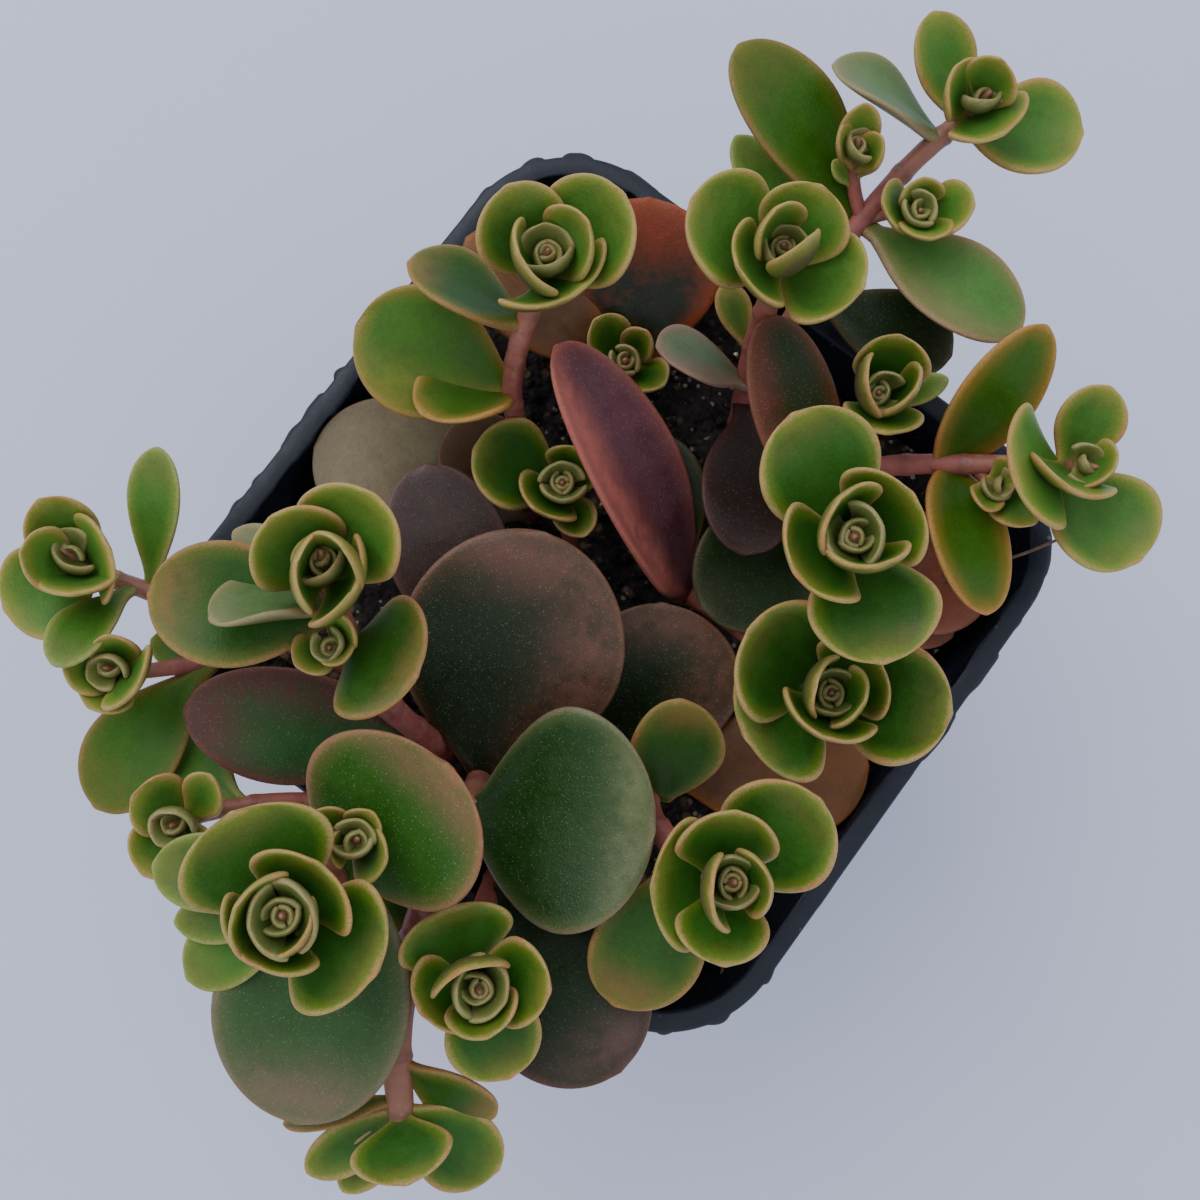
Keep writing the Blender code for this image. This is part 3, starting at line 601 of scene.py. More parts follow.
@dataclass(frozen=True)
class GritSkin:
    """Damp potting mix: dark peat with tan grains and a few pale ones."""

    name: str = "potting_mix"
    roughness: float = 0.95

    def build(self) -> bpy.types.Material:
        """Wire the material: peat browns by patches, then tan grains and pale ones.

        Returns:
            The material.
        """
        finish = Finish(self.name, self.roughness)
        work = finish.work
        patches = finish.effect("cloudy_tone", scale=350.0, contrast=2.6)
        soil = work.mix(patches, tone(16, 14, 14), tone(48, 38, 32))
        grains = finish.effect("specks", scale=900.0, density=0.3, radius=0.6)
        soil = work.mix(grains, soil, tone(96, 76, 56))
        pale = finish.effect("specks", scale=1700.0, density=0.12, radius=0.5)
        soil = work.mix(pale, soil, tone(150, 140, 124))
        finish.set("Base Color", work.tint(soil, work.painted("face_tone", True)))
        finish.set("Roughness", work.map(patches, 0.2, 0.8, 0.99, 0.8))
        finish.relief(finish.effect("skin_relief", scale=1500.0, swell=2.5), 0.8, 0.0008)
        return finish.material


@dataclass(frozen=True)
class PotPlastic:
    """Thin moulded black plastic with a faint orange peel, scuffs and dust."""

    name: str = "pot_plastic"
    roughness: float = 0.42

    def build(self) -> bpy.types.Material:
        """Wire the material: blue-black, dustier in patches, with pale scuff specks.

        Returns:
            The material.
        """
        finish = Finish(self.name, self.roughness)
        work = finish.work
        patches = finish.effect("cloudy_tone", scale=90.0, contrast=2.4)
        film = finish.effect("cloudy_tone", scale=620.0, contrast=3.0)
        plastic = work.mix(patches, tone(11, 16, 27), tone(22, 30, 45))
        plastic = work.mix(work.times(film, 0.05), plastic, tone(112, 110, 106))
        dust = finish.effect("specks", scale=1300.0, density=0.03, radius=0.36)
        plastic = work.mix(work.times(dust, 0.5), plastic, tone(140, 134, 124))
        finish.set("Base Color", plastic)
        rough = work.map(film, 0.2, 0.9, 0.36, 0.5)
        finish.set("Roughness", work.sum("ADD", rough, work.times(dust, 0.3), True))
        finish.relief(finish.effect("skin_relief", scale=2600.0, swell=0.3), 0.14, 0.0002)
        finish.set("Specular IOR Level", 0.36)
        return finish.material


@dataclass(frozen=True)
class DryFibre:
    """Dry root: straw brown, paler in streaks."""

    name: str = "dry_root"
    roughness: float = 0.8

    def build(self) -> bpy.types.Material:
        """Wire the material: two browns by patches.

        Returns:
            The material.
        """
        finish = Finish(self.name, self.roughness)
        patches = finish.effect("cloudy_tone", scale=800.0, contrast=2.5)
        finish.set("Base Color", finish.work.mix(patches, tone(70, 50, 36), tone(128, 100, 74)))
        finish.set("Roughness", finish.work.map(patches, 0.2, 0.8, 0.7, 0.92))
        finish.relief(finish.effect("skin_relief", scale=4000.0, swell=1.5), 0.5, 0.0002)
        return finish.material


@dataclass(frozen=True)
class PaleSheet:
    """The pale blue-grey surface under the pot, very slightly uneven."""

    name: str = "pale_sheet"
    roughness: float = 0.7

    def build(self) -> bpy.types.Material:
        """Wire the material: one pale tone, a little uneven, with faint soft relief.

        Returns:
            The material.
        """
        finish = Finish(self.name, self.roughness)
        patches = finish.effect("cloudy_tone", scale=14.0, contrast=1.0)
        finish.set("Base Color", finish.work.mix(patches, tone(209, 212, 233), tone(215, 218, 237)))
        finish.set("Roughness", finish.work.map(patches, 0.2, 0.8, 0.62, 0.8))
        finish.relief(patches, 0.1, 0.001)
        return finish.material


# Leaves


class BlushAndLitSide(Enum):
    """Where a leaf's second tone lies. It is a blush, and on the mauve-red leaf the left side also carries a
    painted highlight on the lit left half.
    """

    SHOULDER = 0
    TIP = 1
    RIM = 2
    LEFT = 3
    RIGHT = 4
    BASE = 5


@dataclass(frozen=True)
class Look:
    """The tones of one sort of leaf, as display colours, and the strengths of what lies over its face.

    The glow is the tone next to the margin, and back is the underside. A second tone lies over the face at
    where; on the mauve-red leaf it is partly a painted highlight on the lit left half.
    The rim's width is in mm.
    """

    face: tuple
    edge: tuple
    second: tuple
    glow: tuple
    where: BlushAndLitSide
    strength: float
    rim: float
    rim_wide: float
    specks: float
    back: tuple = (96, 92, 62)


SAND = (188, 150, 98)
TAN = (170, 116, 78)
YOUNG = Look((46, 92, 24), SAND, (146, 112, 54), (116, 134, 40), BlushAndLitSide.TIP, 0.35, 0.9, 0.56, 0.2)
BRIGHT = Look((72, 118, 42), SAND, (156, 130, 62), (140, 148, 56), BlushAndLitSide.TIP, 0.35, 0.85, 0.54, 0.2)
BUD = Look((84, 106, 46), (162, 152, 104), (128, 118, 72), (128, 132, 70), BlushAndLitSide.TIP, 0.3, 0.85, 0.6, 0.1)
SPRIG = Look((66, 110, 34), (162, 158, 98), TAN, (120, 138, 54), BlushAndLitSide.TIP, 0.2, 0.75, 0.42, 0.1)
GREEN = Look((44, 84, 20), (168, 124, 80), (160, 104, 66), (106, 110, 36), BlushAndLitSide.TIP, 0.45, 0.85, 0.6, 0.35)
DEEP = Look((22, 42, 10), (96, 82, 56), (60, 44, 34), (52, 58, 26), BlushAndLitSide.TIP, 0.3, 0.6, 0.6, 0.4)
PALE = Look((88, 116, 66), (160, 142, 106), (150, 110, 92), (122, 126, 76), BlushAndLitSide.TIP, 0.35, 0.75, 0.55, 0.4)
OLIVE_LEFT = Look((64, 106, 20), (170, 134, 76), (144, 128, 46), (128, 118, 40),
                  BlushAndLitSide.LEFT, 0.45, 0.85, 0.6, 0.3)
ORANGE_RIM = Look((48, 88, 14), (184, 136, 76), (146, 106, 46), (136, 112, 36), BlushAndLitSide.RIM, 0.5, 0.9, 0.6, 0.2)
PINK_LEFT = Look((106, 126, 94), (170, 132, 116), (158, 112, 104), (134, 122, 92),
                 BlushAndLitSide.LEFT, 0.5, 0.75, 0.7, 0.4)
PINK_RIGHT = Look((76, 118, 52), (172, 132, 106), (156, 120, 92), (120, 122, 66),
                  BlushAndLitSide.RIGHT, 0.35, 0.8, 0.7, 0.3)
BROWN_TIP = Look((54, 98, 12), (154, 116, 70), (120, 92, 48), (100, 108, 36), BlushAndLitSide.TIP, 0.55, 0.75, 0.6, 0.3)
RUST = Look((118, 44, 18), (164, 84, 50), (30, 34, 18), (140, 62, 28), BlushAndLitSide.BASE, 1.0, 0.6, 0.8, 0.2)
ORANGE = Look((108, 68, 38), (156, 100, 56), (70, 48, 34), (124, 80, 42), BlushAndLitSide.BASE, 0.6, 0.6, 0.7, 0.2)
MAUVE = Look((76, 60, 56), (118, 86, 76), (60, 40, 40), (84, 60, 56), BlushAndLitSide.RIM, 0.5, 0.5, 0.8, 0.8)
WINE = Look((42, 30, 26), (92, 60, 54), (64, 38, 34), (56, 38, 34), BlushAndLitSide.RIM, 0.5, 0.5, 0.8, 0.6)
RUSSET = Look((130, 72, 54), (150, 98, 72), (84, 44, 32), (132, 80, 60), BlushAndLitSide.BASE, 0.7, 0.5, 0.7, 0.3)
RED_LEFT = Look((38, 50, 18), (132, 80, 62), (104, 48, 40), (100, 62, 40), BlushAndLitSide.LEFT, 0.95, 0.6, 0.7, 0.7)
# Mauve-red leaf: the second tone over its left half is real pink, and also a painted highlight where the
# lifted left half faces the light.
MAUVE_RED_LIT_LEFT = Look((94, 54, 62), (180, 104, 84), (186, 104, 88), (132, 76, 72), BlushAndLitSide.LEFT, 0.85, 0.6, 0.7, 1.1)
DUSK = Look((24, 40, 14), (132, 92, 72), (108, 72, 58), (76, 58, 38), BlushAndLitSide.SHOULDER, 0.8, 0.7, 0.7, 0.9)
ROUND_OLD = Look((28, 62, 12), (140, 126, 98), (110, 116, 74), (84, 98, 52), BlushAndLitSide.TIP, 0.85, 0.75, 0.65, 0.9)
SPECKLED = Look((46, 90, 22), (164, 112, 86), (136, 92, 70), (110, 100, 50), BlushAndLitSide.TIP, 0.7, 0.8, 0.75, 0.9)
PURPLE_EDGE = Look((28, 46, 18), (112, 76, 66), (98, 72, 66), (58, 50, 38), BlushAndLitSide.TIP, 0.85, 0.65, 0.8, 0.6)
PURPLE_TIP = Look((44, 84, 38), (128, 76, 66), (98, 54, 50), (84, 62, 50),
                  BlushAndLitSide.SHOULDER, 0.95, 0.65, 0.7, 0.9)
KHAKI = Look((130, 116, 90), (100, 84, 62), (92, 78, 58), (112, 98, 72), BlushAndLitSide.RIM, 0.5, 0.5, 0.9, 0.5)
BROWN = Look((92, 66, 46), (110, 82, 56), (64, 46, 34), (98, 74, 50), BlushAndLitSide.TIP, 0.5, 0.5, 0.8, 0.3)
GREY_GREEN = Look((54, 88, 44), (140, 118, 98), (122, 100, 84), (90, 98, 62), BlushAndLitSide.TIP, 0.75, 0.6, 0.8, 0.7)


class Outline(Enum):
    """A blade's outline: the share of its length where it is widest, and the power of its rise to there."""

    SPOON = (0.66, 1.25)
    OVAL = (0.6, 0.95)
    ROUND = (0.56, 0.72)
    BROAD = (0.52, 0.5)


@dataclass
class Leaf:
    """One blade, from its base on the stem to its tip; roll above zero lifts its left margin."""

    tip: tuple
    wide: float
    base: tuple | None = None
    roll: float = 0.0
    cup: float = 0.08
    curl: float = 0.0
    look: Look = YOUNG
    outline: Outline = Outline.SPOON
    bow: float = 0.04
    plump: float = 1.0
    mesh: tuple = (30, 34)

    BASE_HALF_WIDE = 0.45
    BASE_PER_WIDE = 0.06
    THICK = 0.42
    THICK_PER_WIDE = 0.085
    THICKEST = 1.7
    THICK_AT_BASE = 1.2
    THINNING = 0.4
    ROUNDING = 0.36
    UPPER_SHARE = 0.85
    UNDER_SHARE = 1.15
    CHANNEL_DEEP = 0.28
    CHANNEL_WIDE = 0.16
    LEAST_BEND = 0.02
    SWAY_OUT = 0.012
    SWAY_EDGE = 0.016
    LEAN = 0.03
    POINT_LONG = 0.14
    POINT_HALF_WIDE = 0.55
    POINT_FROM_TIP = 0.8

    def outline_wide(self, share: np.ndarray) -> np.ndarray:
        """Half the blade's width at shares of its length.

        Up to the widest place it follows a quarter sine to the power rise, and past it a quarter ellipse; it
        is no narrower than the leaf's foot, which also closes at the tip.

        Args:
            share: shares of the length, from 0 at the base to 1 at the tip.

        Returns:
            Half widths in mm.
        """
        peak, rise = self.outline.value
        swell = np.sin(math.pi / 2 * np.minimum(share / peak, 1.0)) ** rise
        swell = swell * np.sqrt(1.0 - np.maximum((share - peak) / (1.0 - peak), 0.0) ** 2)
        foot = (self.BASE_HALF_WIDE + self.wide * self.BASE_PER_WIDE) * np.sqrt(1.0 - share)
        return ((swell * self.wide / 2) ** 4 + foot ** 4) ** 0.25

    def axes(self, along: np.ndarray) -> tuple[np.ndarray, np.ndarray]:
        """Turn the blade's cross directions about its length by the roll.

        Args:
            along: the unit vector from its base to its tip.

        Returns:
            The unit vectors to its side and out of its upper face.
        """
        face = unit(np.array((0.0, 0.0, 1.0)) - along * along[2])
        turn = math.radians(self.roll)
        face = face * math.cos(turn) + np.cross(along, face) * math.sin(turn)
        return np.cross(along, face), face

    def skin(self, s: np.ndarray, across: np.ndarray, up: np.ndarray, left: np.ndarray) -> np.ndarray:
        """The skin's height over the blade's middle sheet, in mm: above zero on the upper face.

        The blade is thickest at its base, and closes at the tip and to both margins by the power ROUNDING of
        1 - a * a, where a runs from -1 to 1 across. A channel lies along the upper face, and fades out to the
        tip.

        Args:
            s: shares of the length.
            across: places across, -1 to 1.
            up: above zero on the upper face.
            left: what is left of the length, in mm.

        Returns:
            Heights for each ring and place across.
        """
        closing = 1.0 - (1.0 - np.minimum(left / (self.wide / 2), 1.0)) ** 2
        body = min(self.THICKEST, self.THICK + self.THICK_PER_WIDE * self.wide) / 2
        body = body * (self.THICK_AT_BASE - self.THINNING * s) * self.plump
        body = body * closing ** self.ROUNDING
        side = np.where(up > 0, self.UPPER_SHARE, -self.UNDER_SHARE)
        skin = body * (1.0 - np.minimum(across ** 2, 1.0)) ** self.ROUNDING * side
        channel = np.exp(-(across / self.CHANNEL_WIDE) ** 2) * ramp(s, 0.02, 0.3) * (1.0 - s)
        return skin - (up > 0) * self.CHANNEL_DEEP * body * channel

    def gather(self, patches: Patchwork, base: np.ndarray, seed: int) -> None:
        """Work out the blade's skin and its tones, and add them to a patchwork.

        Each ring lies across the midrib. Across it the blade follows an arc of one radius all along, as the
        bowl of a spoon does: its half angle is twice the arctangent of twice the cup at the widest place, and
        elsewhere the arcsine of the half width over that radius. The thickness stands square to the arc. The
        midrib bows up by 4 s (1 - s) and curls by s * s. A slow wave and a slight lean make each blade its
        own, and a small point stands out at the middle of the tip.

        Args:
            patches: takes the skin.
            base: where the blade leaves the stem, in plan mm.
            seed: picks the blade's own wave and tone.
        """
        draw = np.random.default_rng(seed)
        levels, around = self.mesh
        tip = np.asarray(self.tip, dtype=float)
        long = float(np.linalg.norm(tip - base))
        along = unit(tip - base)
        side, face = self.axes(along)
        share = 1.0 - (1.0 - np.linspace(0.0, 1.0, levels + 1)[:-1]) ** 2
        angle = np.arange(around) / around * -2 * math.pi
        across, up = np.cos(angle)[None, :], np.sin(angle)[None, :]
        half = self.outline_wide(share)[:, None]
        s = share[:, None]
        left = (1.0 - s) * long
        widest_bend = math.sin(2.0 * math.atan(2.0 * self.cup))
        bend = np.arcsin(np.minimum(2 * half / self.wide, 1.0) * widest_bend) + self.LEAST_BEND
        skin = self.skin(s, across, up, left)
        wave = draw.uniform(0, 2 * math.pi, 3)
        sway = self.wide * (self.SWAY_OUT * np.sin(5.0 * s + wave[0]) * across
                            + self.SWAY_EDGE * np.sin(7.5 * s + 2.6 * across + wave[1]) * across ** 2)
        lean = draw.uniform(-self.LEAN, self.LEAN) * long * 4 * s * (1.0 - s)
        reach_side = half * np.sin(bend * across) / np.sin(bend) - np.sin(bend * across) * skin + lean
        rise = half * (1.0 - np.cos(bend * across)) / np.sin(bend) + np.cos(bend * across) * skin + sway
        rise = rise + self.curl * long * s ** 2 + self.bow * long * 4 * s * (1.0 - s)
        near_middle = np.exp(-(half * across / self.POINT_HALF_WIDE) ** 2)
        point = self.POINT_LONG * near_middle * np.exp(-(left / self.POINT_FROM_TIP) ** 2)
        reach = long * s + point
        rings = base + reach[..., None] * along + reach_side[..., None] * side + rise[..., None] * face
        end = base + along * (long + self.POINT_LONG) + face * (self.curl * long)
        margin = np.minimum(half * (1.0 - np.abs(across)), left)
        s, across, up = np.broadcast_arrays(s, across, up)
        patches.add_tube(placed(rings), placed(base), placed(end), **self.tones(s, across, up, margin, draw))

    def tones(self, share: np.ndarray, across: np.ndarray, up: np.ndarray, margin: np.ndarray,
              draw: np.random.Generator) -> dict[str, np.ndarray]:
        """The attributes that the leaf's finish reads, a row for each point and then for the two poles.

        Args:
            share: each point's share of the length.
            across: each point's place across, -1 to 1.
            up: above zero on the upper face.
            margin: each point's distance from the margin, in mm.
            draw: the leaf's own random source.

        Returns:
            An array for each attribute.
        """
        look = self.look
        fields = {
            BlushAndLitSide.SHOULDER: np.maximum(ramp(share, 0.62, 1.0), ramp(across, -0.1, 0.9)),
            BlushAndLitSide.TIP: ramp(share, 0.62, 1.0),
            BlushAndLitSide.RIM: np.exp(-margin / (0.12 * self.wide)),
            BlushAndLitSide.LEFT: ramp(-across, -0.1, 0.9),
            BlushAndLitSide.RIGHT: ramp(across, -0.1, 0.9),
            BlushAndLitSide.BASE: 1.0 - ramp(share, 0.45, 0.95),
        }
        under = (up < -0.05)[..., None]
        lift = 1.0 + draw.uniform(-0.12, 0.12)
        face = np.array(tone(*look.face)) * lift * (0.86 + 0.22 * ramp(share, 0.0, 0.8))[..., None]
        face = np.where(under, np.array(tone(*look.back)) * lift * 0.8, face)
        count = share.size + 2

        def whole(field: np.ndarray, low: float, high: float) -> np.ndarray:
            """A field as a row for each point, with its values at the two poles."""
            return np.concatenate((field.ravel(), (low, high)))

        values = {
            "face_tone": opaque(np.concatenate((face.reshape(-1, 3), face[0, :1], face[-1, :1]))),
            # The blush is the second tone's share. It is real colour, and on the mauve-red leaf it is partly
            # a painted highlight on the lit left half.
            "blush_and_lit_side": whole(fields[look.where] * look.strength, 0.0, look.strength),
            "margin": whole(margin, 1.0, 0.0),
            "rim": whole(np.full(share.shape, look.rim), 0.0, look.rim),
            "rim_wide": np.full(count, look.rim_wide),
            "specks": whole(np.full(share.shape, look.specks), 0.0, look.specks),
        }
        for name, colour in (("edge_tone", look.edge), ("glow_tone", look.glow), ("blush_and_lit_side_tone", look.second)):
            values[name] = np.tile((*tone(*colour), 1.0), (count, 1))
        return values


@dataclass
class Head:
    """A rosette: outer leaves read one by one, then smaller pairs that close round the bud.

    Each pair stands a little higher on the axis than the one before. Each inner pair is also turned by TWIST
    and narrower by SHRINK, as opposite leaves grow.
    """

    neck: tuple
    bud: tuple
    leaves: tuple
    inner_turn: float
    inner_wide: float
    look: Look = YOUNG

    PAIR_CLIMB = 0.14
    INNER_BASE = 0.54
    INNER_CLIMB = 0.12
    INNER_OUT = 0.6
    INNER_UP = 0.84
    INNER_WIDER = 1.22
    TWIST = 94.0
    SHRINK = 0.52
    SMALLEST = 0.9
    INNER_SEEDS = 40

    def gather(self, patches: Patchwork, seed: int) -> None:
        """Add every leaf of the rosette to a patchwork.

        Args:
            patches: takes the skins.
            seed: the rosette's own seed.
        """
        neck, rise = np.asarray(self.neck), np.subtract(self.bud, self.neck)
        for place, leaf in enumerate(self.leaves):
            grown = replace(leaf, look=self.look)
            grown.gather(patches, neck + rise * self.PAIR_CLIMB * (place // 2), seed + place)
        axis = unit(rise)
        first = unit(np.array((1.0, 0.0, 0.0)) - axis * axis[0])
        second = np.cross(axis, first)
        wide, pair = self.inner_wide, 0
        while wide > self.SMALLEST:
            base = neck + rise * (self.INNER_BASE + self.INNER_CLIMB * pair)
            for opposite in (0, 1):
                turn = math.radians(self.inner_turn + self.TWIST * pair) + math.pi * opposite
                out = first * math.cos(turn) + second * math.sin(turn)
                tip = base + axis * wide * self.INNER_UP + out * wide * self.INNER_OUT
                leaf = Leaf(tuple(tip), wide * self.INNER_WIDER, cup=0.36, curl=0.14, look=BUD,
                            outline=Outline.ROUND, bow=-0.12, plump=1.3, mesh=(18, 24))
                leaf.gather(patches, base, seed + self.INNER_SEEDS + 2 * pair + opposite)
            wide, pair = wide * self.SHRINK, pair + 1


@dataclass
class Stem:
    """A stem through its points, with the rosette that ends it, if it has one."""

    points: tuple
    radius: float
    head: Head | None = None

    OLD = tone(86, 60, 50)
    RED = tone(150, 86, 80)
    FRESH = tone(152, 106, 84)
    ROOT_DEEP = 4.0
    ROOT_RISE = 1.2
    STEP = 0.45
    FEWEST_STEPS = 12
    AROUND = 14
    SCAR_EVERY = 5.2
    SCAR_SWELL = 0.13
    SCAR_SHADE = 0.3
    KNOBBLE = 0.05
    KNOBBLE_SIZE = 1.6

    def knots(self, root: tuple | None) -> tuple[np.ndarray, list[float]]:
        """Gather the points that the stem runs through, from the soil up into its bud.

        Args:
            root: where it stands in the soil, in plan mm, or None for a branch.

        Returns:
            The points, and its radius at each.
        """
        points = [np.asarray(point, dtype=float) for point in self.points]
        radii = [self.radius] * len(points)
        if root is not None:
            foot, soil = SOIL_TOP - self.ROOT_DEEP, SOIL_TOP + self.ROOT_RISE
            points = [np.array((*root, foot)), np.array((*root, soil))] + points
            radii = [self.radius * 1.1, self.radius * 1.1] + radii
        if self.head is not None:
            neck, bud = np.asarray(self.head.neck), np.asarray(self.head.bud)
            points += [neck, neck + (bud - neck) * 0.7, bud]
            radii += [self.radius * 0.9, self.radius * 0.6, 0.15]
        return np.array(points), radii

    def gather(self, patches: Patchwork, root: tuple | None, seed: int) -> None:
        """Carry a ring along the stem's smooth path and add the tube.

        The path is a cubic from point to point. Its slope at each is that of the parabola through the point
        and both neighbours, and at the two ends that of the end chord. The ring swells by SCAR_SWELL at each
        old leaf's scar, is a little knobbly, and tapers to the bud.

        Args:
            patches: takes the tube.
            root: where the stem stands in the soil, in plan mm, or None for a branch.
            seed: picks the stem's own knobbles.
        """
        knots, radii = self.knots(root)
        gaps = np.linalg.norm(np.diff(knots, axis=0), axis=1)
        at = np.concatenate(((0.0,), np.cumsum(gaps)))
        slopes = np.gradient(knots, at, axis=0)
        arc = np.linspace(0.0, at[-1], max(self.FEWEST_STEPS, int(at[-1] / self.STEP)))
        span = np.clip(np.searchsorted(at, arc, side="right") - 1, 0, len(gaps) - 1)
        step = gaps[span][:, None]
        t = ((arc - at[span]) / gaps[span])[:, None]
        path = ((2 * t ** 3 - 3 * t ** 2 + 1) * knots[span] + (t ** 3 - 2 * t ** 2 + t) * step * slopes[span]
                + (3 * t ** 2 - 2 * t ** 3) * knots[span + 1] + (t ** 3 - t ** 2) * step * slopes[span + 1])
        scar = np.maximum(np.cos(2 * math.pi * arc / self.SCAR_EVERY + seed), 0.0) ** 10
        knobbles = lumps(path, self.KNOBBLE_SIZE, seed)
        radius = np.interp(arc, at, radii) * (1.0 + self.SCAR_SWELL * scar + self.KNOBBLE * knobbles)
        tangent = unit(np.gradient(path, axis=0))
        guide = np.eye(3)[np.argmin(np.abs(tangent).mean(axis=0))]
        across = unit(np.cross(tangent, guide))
        second = np.cross(tangent, across)
        angle = np.arange(self.AROUND) / self.AROUND * 2 * math.pi
        ring = across[:, None] * np.cos(angle)[None, :, None] + second[:, None] * np.sin(angle)[None, :, None]
        rings = path[:, None] + ring * radius[:, None, None]
        share = (arc / at[-1])[:, None]
        if root is None:
            shade = blend(self.RED, self.FRESH, ramp(share, 0.4, 0.9))
        else:
            shade = blend(self.OLD, self.RED, ramp(share, 0.0, 0.35))
            shade = blend(shade, self.FRESH, ramp(share, 0.55, 0.95))
        shade = shade * (1.0 - self.SCAR_SHADE * scar[:, None])
        colours = opaque(np.concatenate((np.repeat(shade, self.AROUND, axis=0), shade[:1], shade[-1:])))
        patches.add_tube(placed(rings), placed(path[0]), placed(path[-1]), face_tone=colours)


@dataclass
class Shoot:
    """One rooted shoot: its first stem stands in the soil at root, and the others branch from it."""

    name: str
    slot: str
    root: tuple
    stems: tuple
    leaves: tuple

    HEAD_SEEDS = 100
    LEAF_SEEDS = 60

    def build(self, skins: dict[str, bpy.types.Material], bark: bpy.types.Material, seed: int) -> None:
        """Build the shoot's leaves as one piece and its stems as another.

        Args:
            skins: the leaf material of each slot.
            bark: the stem material.
            seed: the shoot's own seed.
        """
        blades, tubes = Patchwork(), Patchwork()
        for number, stem in enumerate(self.stems):
            stem.gather(tubes, self.root if number == 0 else None, seed + number)
            if stem.head is not None:
                stem.head.gather(blades, seed + self.HEAD_SEEDS * (number + 1))
        for number, leaf in enumerate(self.leaves):
            leaf.gather(blades, np.asarray(leaf.base, dtype=float), seed + self.LEAF_SEEDS + number)
        seat(blades.build(f"{self.name}_leaves", skins[self.slot]), self.slot, self.name)
        seat(tubes.build(f"{self.name}_stem", bark), self.slot, self.name)


# Pot and soil


def rounded_square(half: np.ndarray, corner: np.ndarray, height: np.ndarray, count: int) -> np.ndarray:
    """Rings round a square with round corners, with the points about evenly spread.

    Each quarter runs round its corner arc and then along a straight side, in fixed shares of the points, so
    that the points of all rings line up.

    Args:
        half: half the side of each ring, in mm.
        corner: the corner radius of each ring.
        height: the height of each ring.
        count: points in a quarter.

    Returns:
        (rings, 4 * count, 3) points in mm, counter-clockwise seen from above.
    """
    bends = int(count * 0.34)
    swing = np.concatenate((np.linspace(0.0, 1.0, bends), np.ones(count - bends))) * math.pi / 2
    slide = np.concatenate((np.zeros(bends), np.linspace(0.0, 1.0, count - bends + 1)[1:]))
    half, corner = half[:, None], corner[:, None]
    inner = half - corner
    x = inner + corner * np.cos(swing) - 2 * inner * slide
    y = inner + corner * np.sin(swing)
    flat = np.concatenate([turned(x, y, quarter * math.pi / 2)[:, :-1] for quarter in range(4)], axis=1)
    tall = np.broadcast_to(height[:, None, None], (*flat.shape[:2], 1))
    return np.concatenate((flat, tall), axis=-1)


